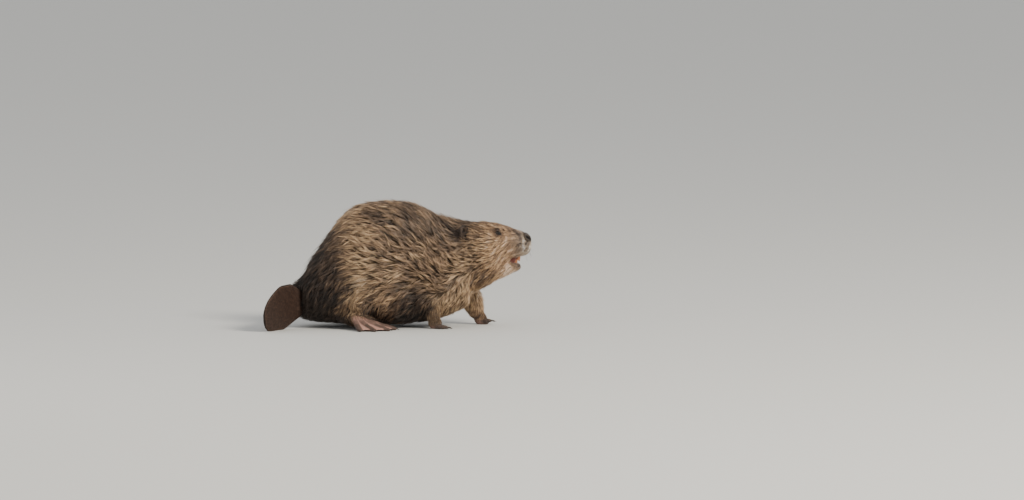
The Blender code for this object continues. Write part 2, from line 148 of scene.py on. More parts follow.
@contextmanager
def edited(mesh):
    """A mesh as a bmesh, written back at the end."""
    bm = bmesh.new()
    bm.from_mesh(mesh)
    yield bm
    bm.to_mesh(mesh)
    bm.free()


def mesh_object(name, verts, faces):
    """A new object in metres from points in millimetres."""
    mesh = bpy.data.meshes.new(name)
    mesh.from_pydata([tuple(v) for v in np.asarray(verts, float) * MM], [], faces)
    mesh.update()
    return linked(name, mesh)


def read_vectors(items, field):
    values = np.zeros(len(items) * 3, np.float32)
    items.foreach_get(field, values)
    return values.reshape(-1, 3).astype(float)


def points_of(made):
    """A mesh's points in millimetres."""
    return read_vectors(made.data.vertices, "co") / MM


def normals_of(made):
    return read_vectors(made.data.vertex_normals, "vector")


def set_points(made, points, lowest=None):
    """Moves a mesh's points, none of them below the lowest height that is given."""
    if lowest is not None:
        points[:, 2] = np.maximum(points[:, 2], lowest)
    made.data.vertices.foreach_set("co", (points * MM).astype(np.float32).ravel())
    made.data.update()


def set_mark(made, name, values):
    """Keeps three numbers on each point, which the materials read."""
    mark = made.data.attributes.new(name, "FLOAT_VECTOR", "POINT")
    mark.data.foreach_set("vector", np.asarray(values, np.float32).ravel())


def apply_modifiers(made):
    graph = bpy.context.evaluated_depsgraph_get()
    mesh = bpy.data.meshes.new_from_object(made.evaluated_get(graph))
    made.modifiers.clear()
    made.data = mesh
    return made


def merged(name, parts, voxel, turns, swell=0.0):
    """Melts overlapping closed pieces into one mesh, and uses them up.

    Each turn of smoothing may be followed by a swelling that keeps thin limbs from shrinking.
    """
    mesh = bpy.data.meshes.new(name)
    with edited(mesh) as bm:
        for part in parts:
            bm.from_mesh(part.data)
            bpy.data.objects.remove(part)
    made = linked(name, mesh)
    melt = made.modifiers.new("melt", "REMESH")
    melt.mode, melt.voxel_size, melt.adaptivity = "VOXEL", voxel * MM, 0
    steps = [(0.5, 1), (-swell, 1)] * turns if swell else [(0.5, turns)]
    for factor, count in steps:
        ease = made.modifiers.new("ease", "SMOOTH")
        ease.factor, ease.iterations = factor, count
    return apply_modifiers(made)


def interpolated(rows, places):
    """A table of (place, value) read at other places, with smooth slopes."""
    rows = np.array(rows, float)
    fine = np.linspace(0, 1, FINE_STEPS)
    straight = np.interp(fine, rows[:, 0], rows[:, 1])
    window = 2 * EASED_STEPS + 1
    eased = np.convolve(np.pad(straight, EASED_STEPS, "edge"), np.ones(window) / window, "valid")
    return np.interp(places, fine, eased)


def ring_faces(rings, sides, looped=False):
    """Faces between rings of equal point counts, and from the last to the first if looped."""
    faces = []
    for i in range(rings if looped else rings - 1):
        following = (i + 1) % rings
        for j in range(sides):
            k = (j + 1) % sides
            faces.append((i * sides + j, i * sides + k, following * sides + k, following * sides + j))
    return faces


def closed_object(name, verts, faces):
    """An object whose faces all look outwards."""
    made = mesh_object(name, verts, faces)
    with edited(made.data) as bm:
        bmesh.ops.recalc_face_normals(bm, faces=bm.faces)
    return made


def lathe(name, rings):
    """A closed skin over rings of equal point counts, with a point at either end."""
    sides = len(rings[0])
    verts = [point for ring in rings for point in ring]
    faces = ring_faces(len(rings), sides)
    for ring, first in ((rings[0], 0), (rings[-1], (len(rings) - 1) * sides)):
        verts.append(np.mean(ring, axis=0))
        for j in range(sides):
            faces.append((first + (j + 1) % sides, first + j, len(verts) - 1))
    return closed_object(name, verts, faces)


def tube(name, path, radii):
    """A limb along a path, with rounded ends."""
    path = np.asarray(path, float)
    ahead = unit(np.gradient(path, axis=0))
    rings = []
    for place, way, radius in zip(path, ahead, radii):
        turn = Vector(way).to_track_quat("Z", "X").to_matrix()
        circle = [np.array(turn @ Vector((cos(angle), sin(angle), 0))) for angle in all_round(LIMB_SIDES)]
        rings.append([place + out * radius for out in circle])
    caps = []
    for end, way in ((0, -1), (-1, 1)):
        cap = []
        for share in CAP_SHARES:
            out = path[end] + way * ahead[end] * radii[end] * share
            cap.append([out + (point - path[end]) * (1 - share**2) ** 0.5 for point in rings[end]])
        caps.append(cap)
    return lathe(name, caps[0][::-1] + rings + caps[1])


def ellipsoid(name, centre, radii):
    mesh = bpy.data.meshes.new(name)
    place = Matrix.Translation(Vector(centre) * MM) @ Matrix.Diagonal((*(Vector(radii) * MM), 1))
    with edited(mesh) as bm:
        bmesh.ops.create_uvsphere(bm, u_segments=BALL_GRID[0], v_segments=BALL_GRID[1], radius=1)
        bmesh.ops.transform(bm, matrix=place, verts=bm.verts)
    return linked(name, mesh)


def solid_tree(solid, points):
    """A solid that can be searched for places, from its points in millimetres."""
    return BVHTree.FromPolygons(points.tolist(), [list(face.vertices) for face in solid.data.polygons])


# Places on the head, read from the solids

GAZE = (0.27, 0.95, 0.10)  # forwards, outwards, up
LID_TILT = 14  # how far the slit's front corner drops
EAR_YAW = 38  # how far the ear's opening is turned outwards
WHISKER_FROM = (333, 219)  # x and z of the foremost and uppermost root
WHISKER_GRID, WHISKER_STEP = (4, 4), (6.5, 5.5)  # rows and columns, and how far apart


def middle_of(name):
    low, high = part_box(name)
    return np.array((low + high) / 2) / MM


def eye_frame(side, sign):
    """The eye's centre, its line of sight, and the directions along and across the slit of its lids."""
    sight = unit(np.array((GAZE[0], sign * GAZE[1], GAZE[2])))
    level = unit(np.cross(sight, (0, 0, 1))) * -sign
    upward = unit(np.cross(sight, level)) * -sign
    tilt = radians(LID_TILT)
    along = level * cos(tilt) - upward * sin(tilt)
    across = upward * cos(tilt) + level * sin(tilt)
    return middle_of(f"eye_{side}"), sight, along, across


def ear_turn(sign):
    return Matrix.Rotation(radians(sign * EAR_YAW), 3, "Z")


def whisker_places():
    """x and z of the whiskers' roots, in rows along the muzzle."""
    rows, columns = WHISKER_GRID
    step, drop = WHISKER_STEP
    places = []
    for i in range(rows):
        for j in range(columns):
            places.append((WHISKER_FROM[0] - j * step - (i % 2) * step / 2, WHISKER_FROM[1] - i * drop))
    return places


# The lie, depth, length and tone of the coat

# How the coat lies on the side of the body: x, z, lie, depth, length and tone. Lie is where the hair
# points, in degrees below straight back. Depth is how far its tips stand off the skin. Tone runs from
# 0, nearly black, through brown and gold to 1, cream. The low tones on the rump and round the tail root
# are partly wet fur and partly painted shade on the side turned from the key light; those on the belly
# just behind the forelegs and under the jaw are painted shadow.
COAT = (
    # back and flank
    (130, 250, -25, 10, 35, 0.38),
    (80, 257, -35, 11, 38, 0.38),
    (44, 293, -37, 11, 38, 0.34),
    (-21, 280, -35, 12, 42, 0.38),
    (-83, 285, -12, 12, 43, 0.60),
    (-120, 268, 6, 12, 45, 0.60),
    (32, 221, -17, 12, 40, 0.44),
    (-46, 230, -35, 12, 42, 0.62),
    (-96, 230, -21, 12, 43, 0.74),
    (80, 173, -41, 12, 40, 0.46),
    (32, 180, -12, 12, 40, 0.50),
    (-21, 181, -27, 12, 42, 0.55),
    (-71, 181, -18, 12, 43, 0.77),
    (-121, 181, 0, 12, 45, 0.48),
    (-148, 165, 30, 12, 45, 0.16),
    (32, 142, -12, 12, 40, 0.50),
    (-21, 131, -3, 12, 42, 0.60),
    (-71, 131, 12, 12, 43, 0.84),
    (104, 124, -39, 11, 38, 0.50),
    (13, 112, 6, 12, 40, 0.45),
    (-46, 94, 30, 11, 39, 0.65),
    # belly; the darkest rows, just behind the forelegs, are painted shadow
    (44, 77, 24, 11, 36, 0.12),
    (48, 40, 50, 9, 35, 0.08),
    (-21, 56, 49, 10, 36, 0.40),
    (-58, 44, 66, 9, 34, 0.20),
    (0, 15, 40, 7, 28, 0.10),
    (68, 62, 55, 8, 26, 0.05),
    (-60, 12, 30, 7, 27, 0.10),
    (-150, 20, 30, 7, 30, 0.08),
    # rump, thigh and shank; the dark rows on the rump and round the tail root are partly wet fur and partly
    # painted shade
    (-133, 236, 15, 12, 45, 0.40),
    (-158, 258, 20, 12, 45, 0.16),
    (-170, 206, 49, 12, 46, 0.10),
    (-185, 232, 45, 12, 44, 0.12),
    (-150, 198, 25, 12, 45, 0.17),
    (-121, 119, 30, 11, 40, 0.36),
    (-158, 106, 60, 11, 40, 0.07),
    (-195, 131, 60, 11, 45, 0.06),
    (-96, 94, 45, 10, 36, 0.73),
    (-113, 56, 81, 7, 18, 0.60),
    (-112, 35, 85, 3.5, 9, 0.50),
    (-235, 140, 62, 10, 43, 0.09),
    (-250, 100, 50, 7, 38, 0.07),
    (-220, 56, 27, 8, 38, 0.07),
    (-280, 108, 45, 2, 26, 0.07),
    (-282, 80, 35, 2, 26, 0.07),
    (-280, 52, 25, 2, 26, 0.07),
    (-187, 44, 32, 9, 38, 0.06),
    # neck, shoulder and chest
    (190, 278, -15, 9, 32, 0.38),
    (165, 225, -12, 9, 32, 0.40),
    (140, 185, -39, 11, 36, 0.44),
    (176, 160, -29, 10, 34, 0.60),
    (164, 124, 49, 9, 30, 0.72),
    (188, 136, 49, 9, 30, 0.77),
    (128, 77, 58, 8, 27, 0.70),
    # forelegs
    (95, 52, 85, 5, 13, 0.67),
    (97, 25, 88, 2.5, 7, 0.50),
    (207, 88, 85, 7, 16, 0.88),
    (212, 50, 85, 4.5, 12, 0.70),
    (212, 25, 70, 2.5, 7, 0.40),
    # crown and bridge
    (224, 275, -3, 6, 18, 0.64),
    (262, 271, -3, 4.5, 15, 0.71),
    (290, 262, -3, 3, 11, 0.64),
    (318, 250, 0, 2, 8, 0.62),
    (338, 244, 5, 1.5, 6, 0.57),
    # cheek and muzzle
    (236, 221, 0, 6, 17, 0.76),
    (250, 235, 0, 5, 14, 0.74),
    (248, 190, 0, 7, 19, 0.78),
    (212, 180, -18, 8, 22, 0.72),
    (272, 213, 30, 5, 13, 0.80),
    (285, 190, 35, 4.5, 12, 0.83),
    (300, 240, 10, 3, 9, 0.68),
    (305, 215, 35, 3, 9, 0.70),
    (325, 218, 35, 2.5, 7, 0.63),
    (335, 205, 75, 1.2, 4, 0.86),
    (322, 195, 60, 1.5, 5, 0.80),
    # jaw and throat; the darker rows under the jaw, towards the throat, are painted shadow
    (318, 160, 25, 1.2, 4, 0.25),
    (312, 166, 25, 1.2, 4, 0.26),
    (305, 164, 25, 2.5, 7, 0.45),
    (284, 150, 20, 4.5, 12, 0.95),
    (295, 160, 25, 4, 10, 0.97),
    (302, 146, 20, 3.5, 10, 1.00),
    (290, 148, 20, 4, 11, 1.00),
    (280, 135, 20, 5, 14, 0.85),
    (248, 173, 5, 7, 18, 0.78),
    (260, 149, 27, 6, 16, 0.64),
    (250, 122, 30, 7, 18, 0.48),
    (231, 136, 49, 8, 20, 0.36),
    (240, 154, 25, 7, 19, 0.50),
    (214, 142, 40, 9, 26, 0.40),
)
BLEND_REACH = 14  # how softly these places blend into each other
BLEND_BATCH = 20000  # points looked at in one go
BORDER_WANDER = (60, 9)  # the places stray to and fro: over what length, and how far
TAIL_TURN = (-215, 60)  # behind this x the coat turns towards the tail, over this length

# Round the ears and the eyes: between which distances the coat changes, and to what.
EAR_ZONE, EAR_DEPTH, EAR_HAIR, EAR_DARKER = (15, 30), 1.5, 6, 0.2
EAR_RISE = (-4, 6, 22)  # how the ear's hair leans from straight out of its middle
EYE_ZONE, EYE_DEPTH, EYE_HAIR, EYE_DARKER = (8, 20), 1.2, 5, 0.16
EYE_RING, RING_DARKER = (8, 14), 0.18
EYE_FRONT = 5  # how far before the eye's centre its zones have their middle

# Markings. A mottle has a wave's length and a strength. An x, y or z tells where a marking sets in.
BODY_MOTTLE, MUZZLE_MOTTLE = (75, 0.06), (13, 0.17)
MUZZLE_X, MUZZLE_Z = (285, 305), (190, 205)
STREAKS, STREAKS_X = (0.05, 0.19), (170, 220)  # the strength on the body and on the head
STREAK_WIDTH, STREAK_SQUEEZE = 14, 0.3
CROWN_DARKER, CROWN_Y, CROWN_X, CROWN_Z = 0.22, (8, 24), (170, 210), (215, 235)
ON_MUZZLE = 0.2
WHISKER_BED, BED_CORE = (-0.45, 2.8), 0.4  # how a whisker's root changes the tone, and how far round


def coat_at(points):
    """The lie of the coat as a unit vector, its depth, length and tone at points in millimetres."""
    way, depth, length, tone = coat_by_rows(points)
    for side, sign in SIDES:
        away = points - middle_of(f"ear_{side}")
        near = fade(*EAR_ZONE, np.linalg.norm(away, axis=1))
        rising = unit(away + np.array(EAR_RISE) * (1, sign, 1))
        way = unit(between(way, rising, near[:, None]))
        depth, length = between(depth, EAR_DEPTH, near), between(length, EAR_HAIR, near)
        tone = tone - EAR_DARKER * near
        centre, sight, *_ = eye_frame(side, sign)
        away = distances(points - centre, sight * EYE_FRONT)
        near = fade(*EYE_ZONE, away)
        depth, length = between(depth, EYE_DEPTH, near), between(length, EYE_HAIR, near)
        tone = tone - EYE_DARKER * near - RING_DARKER * fade(*EYE_RING, away)
    return way, depth, length, np.clip(marked(points, tone), 0, 1)


def coat_by_rows(points):
    """What the table of the coat says at points, each place in it weighing by its nearness."""
    rows = np.array(COAT, float)
    lie = np.radians(rows[:, 2])
    values = np.column_stack([-np.cos(lie), -np.sin(lie), rows[:, 3:]])
    wave, reach = BORDER_WANDER
    shifted = points + np.outer(swirl(points, BORDER_SEED, wave), (reach, 0, 0))
    found = []
    for some in np.array_split(shifted, max(1, len(points) // BLEND_BATCH)):
        away = (some[:, None, 0] - rows[None, :, 0]) ** 2 + (some[:, None, 2] - rows[None, :, 1]) ** 2
        weight = 1 / (away + BLEND_REACH**2) ** 2
        found.append(weight @ values / weight.sum(1, keepdims=True))
    found = np.vstack(found)
    begins, over = TAIL_TURN
    aside = -np.clip((begins - points[:, 0]) / over, 0, 1)
    way = unit(np.column_stack([found[:, 0], aside, found[:, 1]]))
    return way, *found[:, 2:].T


def marked(points, tone):
    """The coat's tone with its mottles, its streaks, the dark crown and the whiskers' beds."""
    x, y, z = points.T
    tone = tone + BODY_MOTTLE[1] * swirl(points, BODY_SEED, BODY_MOTTLE[0])
    streaked = between(*STREAKS, smoothstep(*STREAKS_X, x))
    tone = tone + streaked * swirl(points * (STREAK_SQUEEZE, 1, 1), STREAK_SEED, STREAK_WIDTH)
    crown = fade(*CROWN_Y, np.abs(y - middle_of("nose")[1]))
    crown *= smoothstep(*CROWN_X, x) * smoothstep(*CROWN_Z, z)
    tone = tone - CROWN_DARKER * crown
    muzzle = smoothstep(*MUZZLE_X, x) * smoothstep(*MUZZLE_Z, z)
    tone = tone + MUZZLE_MOTTLE[1] * muzzle * swirl(points, MUZZLE_SEED, MUZZLE_MOTTLE[0])
    close = np.nonzero(muzzle > ON_MUZZLE)[0]
    darker, reach = WHISKER_BED
    for bed_x, bed_z in whisker_places():
        away = np.hypot(x[close] - bed_x, z[close] - bed_z)
        tone[close] += darker * fade(reach * BED_CORE, reach, away)
    return tone


# The skin

CUT_GAP = 0.4  # closes the cuts between the solids
BASE_VOXEL, BASE_TURNS, BASE_SWELL = 3.0, 30, 0.51
DRAW_STEPS = 3  # the flesh is drawn in by the coat's depth in this many steps
SKIN_VOXEL, SKIN_TURNS, SKIN_ABOVE = 1.7, 3, 0.05  # the last is the lowest that a sole stands
SKIN_TRIANGLES, COARSE_LEVELS = 190000, 10
NOSE_MARGIN, NOSE_EDGE = 0.5, (1.0, 1.18)  # the pad is a little larger than its solid
FINE_HEAD, FINE_EARS, FINE_FEET = (225, 265), (24, 40), (24, 60)  # by x, distance and height

# Feet. The ankle is in the top slab of the foot's solid, and a toe ends inside its claw. Toes: share of
# the way from the ankle, and radius. Knuckles: how far they swell, where and how wide.
TOES, TOE_RINGS = 5, 36
TOE_PROFILES = {
    "forefoot": ((0, 6.9), (0.35, 5.3), (0.65, 4.4), (0.88, 4.4), (1, 3.2)),
    "hindfoot": ((0, 11.4), (0.25, 8.7), (0.55, 6.3), (0.86, 6.0), (1, 4.3)),
}
KNUCKLES = ((0.14, 0.58, 0.06), (0.12, 0.84, 0.05))
ANKLE_SLAB, CLAW_ROOT, TOE_END, TOE_SLOPE = 6, 2, 2, 1.4
ANKLE_RADII = {"forefoot": (16, 14, 17), "hindfoot": (19, 14, 14)}
ANKLE_RISE = {"forefoot": 5, "hindfoot": -2}
PALM_AHEAD, PALM_HEIGHT, PALM_RADII = 8, 5, (15, 14, 7)
WEB_THICKNESS, WEB_GRID = 3.2, (9, 18)  # points across a web and along it
WEB_FROM, WEB_TO, WEB_SAG = 0.22, 0.97, 0.09  # shares of the toes' length

# The ear is turned from this profile: depth towards its opening, and share of its half width and height.
EAR_PROFILE = (
    (-7.0, 0.5),
    (-3.5, 0.88),
    (1.0, 1.0),
    (4.6, 1.0),
    (5.4, 0.93),
    (4.4, 0.84),
    (1.0, 0.76),
    (-2.5, 0.55),
    (-4.2, 0.25),
)
EAR_HALF, EAR_ROLL, EAR_SIDES = (15, 19), 14, 40
EAR_HOLLOW, HOLLOW_EDGE = 5, (9.5, 12)  # how far its middle is towards the opening, and how wide it is

# Lids: a ring over the eyeball. Profile: angle past the slit's edge, and radius from the eye's centre.
LID_OPENING = (54, 28)  # half angles along and across the slit
LID_PROFILE = ((45, 7.0), (6, 7.7), (0, 8.2), (0, 9.4), (6, 10.2), (20, 10.8), (45, 9.6))
LID_SIDES, LID_MARGIN, LID_REACH = 48, (2, 9), 14

# Nostrils: a groove from the front corner up and back, as offsets from the middle of the nose, and a
# rim: its height, how far out it stands and how wide it is.
NOSTRIL = ((6.5, 8.5, -3.5), (-1.5, 15.0, 2.5))
NOSTRIL_FACING, NOSTRIL_BEHIND = (0.65, 0.75, 0.1), 14
NOSTRIL_RADIUS, NOSTRIL_DEPTH = 2.9, 4.6
NOSTRIL_RIM = (1.2, 6.0, 2.0)
CLEFT = ((13, 0, -8), (5, 0, -42))  # from the nose's middle, down the upper lip
CLEFT_WIDTH, CLEFT_DEPTH = 2.2, 1.6

# What fills the mouth behind the incisors, offset from the middle of the upper ones, and where skin is
# the mouth's inside, offset from the middle of that.
GUMS, GUM_RADII = (-12, 0, -7), (12, 9, 17)
MOUTH, MOUTH_RADII, MOUTH_EDGE = (4, 0, -2), (15, 14, 12), (0.95, 1.15)


def closed_copy(node):
    """A copy of a solid, a little larger all round, so that it overlaps its neighbours."""
    mesh = bpy.data.meshes.new("flesh")
    with edited(mesh) as bm:
        bm.from_mesh(node.data)
        bmesh.ops.remove_doubles(bm, verts=bm.verts, dist=1e-6)
        bm.normal_update()
        for vert in bm.verts:
            vert.co += vert.normal * CUT_GAP * MM
    return linked("flesh", mesh)


def body_base(nodes):
    """The flesh without feet and ears, smooth, and drawn in by the depth of the coat."""
    parts = [closed_copy(nodes[name]) for name in FLESH_NAMES]
    base = merged("base", parts, BASE_VOXEL, BASE_TURNS, BASE_SWELL)
    for _ in range(DRAW_STEPS):
        points = points_of(base)
        depth = coat_at(points)[1] * (1 - nose_share(points))
        set_points(base, points - normals_of(base) * (depth / DRAW_STEPS)[:, None])
    return base


def nose_share(points):
    """1 on the bare nose pad and 0 where the coat begins."""
    low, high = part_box("nose")
    half = np.array((high - low) / 2) / MM + NOSE_MARGIN
    return fade(*NOSE_EDGE, np.linalg.norm((points - middle_of("nose")) / half, axis=1))


class Foot:
    """Where a foot's ankle and toes are, read from its solids."""

    def __init__(self, nodes, kind, side):
        self.name, self.kind = f"{kind}_{side}", kind
        sole = points_of(nodes[self.name])
        top = sole[sole[:, 2] > sole[:, 2].max() - ANKLE_SLAB]
        self.ankle = top.mean(0) - (0, 0, ANKLE_SLAB)
        self.claws = []
        for number in range(TOES):
            claw = points_of(nodes[f"{self.name}_claw_{number + 1}"])
            away = np.linalg.norm((claw - self.ankle)[:, :2], axis=1)
            self.claws.append((claw[away < away.min() + CLAW_ROOT].mean(0), claw[away.argmax()]))

    def toe(self, number, places):
        """Points and radii along a toe's middle, at shares of its length."""
        root, tip = self.claws[number]
        end = root + unit((tip - root) * (1, 1, 0)) * TOE_END
        places = np.asarray(places, float)
        path = between(self.ankle, end, places[:, None])
        path[:, 2] = between(end[2], self.ankle[2], (1 - places) ** TOE_SLOPE)
        radii = interpolated(TOE_PROFILES[self.kind], places)
        for swell, middle, width in KNUCKLES:
            radii = radii * (1 + swell * bell(places - middle, width))
        return path, radii

    def pieces(self):
        made = [ellipsoid("ankle", self.ankle + (0, 0, ANKLE_RISE[self.kind]), ANKLE_RADII[self.kind])]
        for number in range(TOES):
            made.append(tube("toe", *self.toe(number, np.linspace(0, 1, TOE_RINGS))))
        if self.kind == "hindfoot":
            return made + [self.web(number) for number in range(TOES - 1)]
        root, tip = self.claws[TOES // 2]
        pad = self.ankle + unit((tip - root) * (1, 1, 0)) * PALM_AHEAD
        return [*made, ellipsoid("palm", (pad[0], pad[1], PALM_HEIGHT), PALM_RADII)]

    def web(self, number):
        """The skin between two toes: a slab along both, whose front edge curves back."""
        across = np.linspace(0, 1, WEB_GRID[0])
        reach = WEB_TO - WEB_SAG * np.sin(pi * across)
        rings = []
        for along in np.linspace(0, 1, WEB_GRID[1]):
            place = between(WEB_FROM, reach, along)
            first, second = (self.toe(toe, place)[0] for toe in (number, number + 1))
            middle = between(first, second, across[:, None])
            half = np.array((0, 0, WEB_THICKNESS / 2))
            rings.append(np.vstack([middle + half, (middle - half)[::-1]]))
        return lathe("web", rings)


def ear(side, sign):
    """A short rounded pinna, hollow on the side that looks forwards and outwards."""
    centre = Vector(middle_of(f"ear_{side}"))
    turn = ear_turn(sign) @ Matrix.Rotation(radians(-sign * EAR_ROLL), 3, "X")
    wide, tall = EAR_HALF
    angles = all_round(EAR_SIDES)
    rings = []
    for depth, share in EAR_PROFILE:
        flat = [(depth, wide * share * cos(angle), tall * share * sin(angle)) for angle in angles]
        rings.append([centre + turn @ Vector(point) for point in flat])
    return lathe("ear", rings)


def slit(along, across):
    """How many degrees from the line of sight the lids open, by the cosine and sine of the way there."""
    return ((along / LID_OPENING[0]) ** 2 + (across / LID_OPENING[1]) ** 2) ** -0.5


def lids(side, sign):
    """A ring of flesh round the eye, open in a slit."""
    centre, sight, along, across = eye_frame(side, sign)
    rings = []
    for beyond, radius in LID_PROFILE:
        ring = []
        for angle in all_round(LID_SIDES):
            opening = radians(slit(cos(angle), sin(angle)) + beyond)
            aside = along * cos(angle) + across * sin(angle)
            ring.append(centre + (sight * cos(opening) + aside * sin(opening)) * radius)
        rings.append(ring)
    return closed_object("lids", np.vstack(rings), ring_faces(len(rings), LID_SIDES, looped=True))


def nostril_distance(points):
    """How far points are from the nostrils' grooves, seen square on to them."""
    middle = middle_of("nose")
    found = []
    for _, sign in SIDES:
        start, end = [middle + np.array(p) * (1, sign, 1) for p in NOSTRIL]
        facing = unit(np.array(NOSTRIL_FACING) * (1, sign, 1))
        depth = (points - start) @ facing
        flat = points - depth[:, None] * facing
        away = near_segment(flat, start, end - (end - start) @ facing * facing)
        found.append(np.where(depth > -NOSTRIL_BEHIND, away, FAR))
    return np.min(found, axis=0)


def sculpted(skin):
    """Hollows the nostrils, cleaves the upper lip and sets all soles on the floor."""
    points, normals = points_of(skin), normals_of(skin)
    away = nostril_distance(points)
    hollow = bell(away, NOSTRIL_RADIUS) * NOSTRIL_DEPTH
    height, stands_out, width = NOSTRIL_RIM
    rim = bell(away - stands_out, width) * height * nose_share(points)
    start, end = [middle_of("nose") + offset for offset in CLEFT]
    hollow += bell(near_segment(points, start, end), CLEFT_WIDTH) * CLEFT_DEPTH
    set_points(skin, points + normals * (rim - hollow)[:, None], SKIN_ABOVE)
    return skin


def skin_whole(nodes, feet):
    """One skin over body, ears, lids and feet."""
    parts = [body_base(nodes)]
    for side, sign in SIDES:
        parts += [ear(side, sign), lids(side, sign)]
    low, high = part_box("incisors_upper")
    parts.append(ellipsoid("gums", (low + high) / 2 / MM + Vector(GUMS), GUM_RADII))
    for foot in feet:
        parts += foot.pieces()
    return thinned(sculpted(merged("skin", parts, SKIN_VOXEL, SKIN_TURNS)))


def fineness(points):
    """1 where the skin keeps its finest triangles: the face, the ears and the feet."""
    fine = np.maximum(smoothstep(*FINE_HEAD, points[:, 0]), fade(*FINE_FEET, points[:, 2]))
    for name in EAR_NAMES:
        fine = np.maximum(fine, fade(*FINE_EARS, distances(points, middle_of(name))))
    return fine


def thinned(skin):
    """Spends the skin's triangles where it is bare or thinly covered."""
    group = skin.vertex_groups.new(name="coarse")
    levels = np.round((1 - fineness(points_of(skin))) * COARSE_LEVELS).astype(int)
    for level in range(1, COARSE_LEVELS + 1):
        members = np.nonzero(levels == level)[0]
        group.add(members.tolist(), level / COARSE_LEVELS, "REPLACE")
    thin = skin.modifiers.new("thin", "DECIMATE")
    thin.vertex_group = "coarse"
    thin.ratio = SKIN_TRIANGLES / (2 * len(skin.data.polygons))
    apply_modifiers(skin)
    skin.vertex_groups.clear()
    drop_scraps(skin)
    return skin


def drop_scraps(made):
    """Deletes loose triangles that thinning may leave inside."""
    with edited(made.data) as bm:
        scraps = [face for face in bm.faces if all(len(vert.link_edges) < 3 for vert in face.verts)]
        bmesh.ops.delete(bm, geom=scraps, context="FACES")


def bare_at(points):
    """1 where no hair grows: nose, lids, mouth and the hollows of the ears."""
    bare = np.maximum(nose_share(points), mouth_share(points))
    for side, sign in SIDES:
        bare = np.maximum(bare, lid_share(points, side, sign))
        opening = np.array(ear_turn(sign) @ Vector((1, 0, 0)))
        away = distances(points - middle_of(f"ear_{side}"), opening * EAR_HOLLOW)
        bare = np.maximum(bare, fade(*HOLLOW_EDGE, away))
    return bare


def lid_share(points, side, sign):
    """1 on the bare margins of the lids."""
    centre, sight, along, across = eye_frame(side, sign)
    offset = points - centre
    u, v = offset @ along, offset @ across
    angle = np.degrees(np.arctan2(np.hypot(u, v), offset @ sight))
    turn = np.arctan2(v, u)
    near = np.linalg.norm(offset, axis=1) < LID_REACH
    return fade(*LID_MARGIN, angle - slit(np.cos(turn), np.sin(turn))) * near


def mouth_share(points):
    """1 inside the mouth."""
    centre = middle_of("incisors_upper") + GUMS + MOUTH
    return fade(*MOUTH_EDGE, np.linalg.norm((points - centre) / MOUTH_RADII, axis=1))


# The coat

LONG_HAIRED = ("trunk", "neck", "tail_root")
COAT_GROUPS = {
    "trunk": ("trunk", "tail_root"),
    "neck": ("neck",),
    "head": ("head", "nose", *EAR_NAMES),
    "jaw": ("lower_jaw",),
    **{
        f"leg_{end}_{side}": (f"{end}leg_{side}", f"{end}foot_{side}")
        for end in ("fore", "hind")
        for side in ("left", "right")
    },
}
OWNER_REACH = 25  # the skin is at most this far from its solid

# Hairs are closed horns with three sides. Shares of their length where they have rings, and the share
# of their width there.
LONG_RINGS = ((0, 0.75), (0.33, 1.0), (0.68, 0.75))
SHORT_RINGS = ((0, 0.8), (0.5, 0.95))
HAIR_WIDTH = (0.25, 0.0195)  # at no length, and more for each unit of length
WIDTH_SPREAD, PROUD_WIDTH = (0.75, 1.25), 0.6
HAIR_ABOVE, PATH_ABOVE, ROOT_DEPTH = 0.1, 0.3, 0.8  # heights over the floor, and depth in the skin
PIECE_TRIANGLES = 195000
PATCH, CELL_MARGIN = 0.003, 0.2  # a hair's patch in the colours' map, and its place in its cell

# How many hairs lie over any place, by their length, and the share fewer on the underside.
LONG_COVER, SHORT_COVER, COVER_LENGTHS = 5.45, 4.0, (10, 22)
UNDER_FACING, UNDER_HEIGHT, UNDER_LESS = -0.5, 70, 0.6
FORE_COVER, FORE_HEIGHTS = (0.35, 0.65), (12, 24)  # at the toes, and more up to the wrist
HIND_COVER, HIND_HEIGHTS = 0.25, (26, 36)
FOOT_FACING = (0.0, 0.35)  # hair grows on a foot's upper side alone

# The hair on the feet: up to which heights, its depth, length and lie, and how much darker it is.
FOOT_HEIGHTS, FOOT_DEPTH, FOOT_HAIR, FOOT_LIE, FOOT_DARKER = (14, 30), 0.8, 5, (1.0, 0, -0.4), 0.25

# Locks: how many hairs are in one, how drawn out the patch of skin is that it grows from, from 0 to 1,
# and among how many a hair chooses. What share of the way a hair's tip is drawn to its leader's, how
# that sets in by its length and along it, and how far it is drawn at most.
LOCK_SIZE, LOCK_STRETCH, LOCK_CHOICE = 7, 0.8, 7
LOCK_PULL, PULL_LENGTHS, PULL_CURVE, MOST_PULLED = 0.74, (4, 16), 1.3, 9

# How hairs stray from the lie of the coat. Sways: by waves along the skin of a length, by the lock, by
# the hair, and for the few that aren't tame. Short hair is calm.
SWAY_WAVE, SWAY, RIPPLE_WAVE, RIPPLE = 95, 14, 40, 7
LOCK_SWAY, HAIR_SWAY, WILD_SWAY, TAME_SHARE = 6, 3, 25, 0.97
CALM, UNRULY, UNRULY_LENGTHS = 0.35, 0.65, (14, 30)
BEND, BEND_WAVE, LOCK_BEND = 15, 60, 0.5
WAVE, WAVE_LENGTHS, WAVE_TURNS = 11, (14, 32), 5.5
DROOP = (0, 0, -0.55)  # where the coat would run straight in or out of the skin it turns downwards

# Length and steepness: the usual share, how far it strays by the lock and by the hair, and its limits.
REACH = (1, 0.12, 0.08, 0.6, 1.4)
LIFT = (0.78, 0.13, 0.10, 0.35, 1.08)

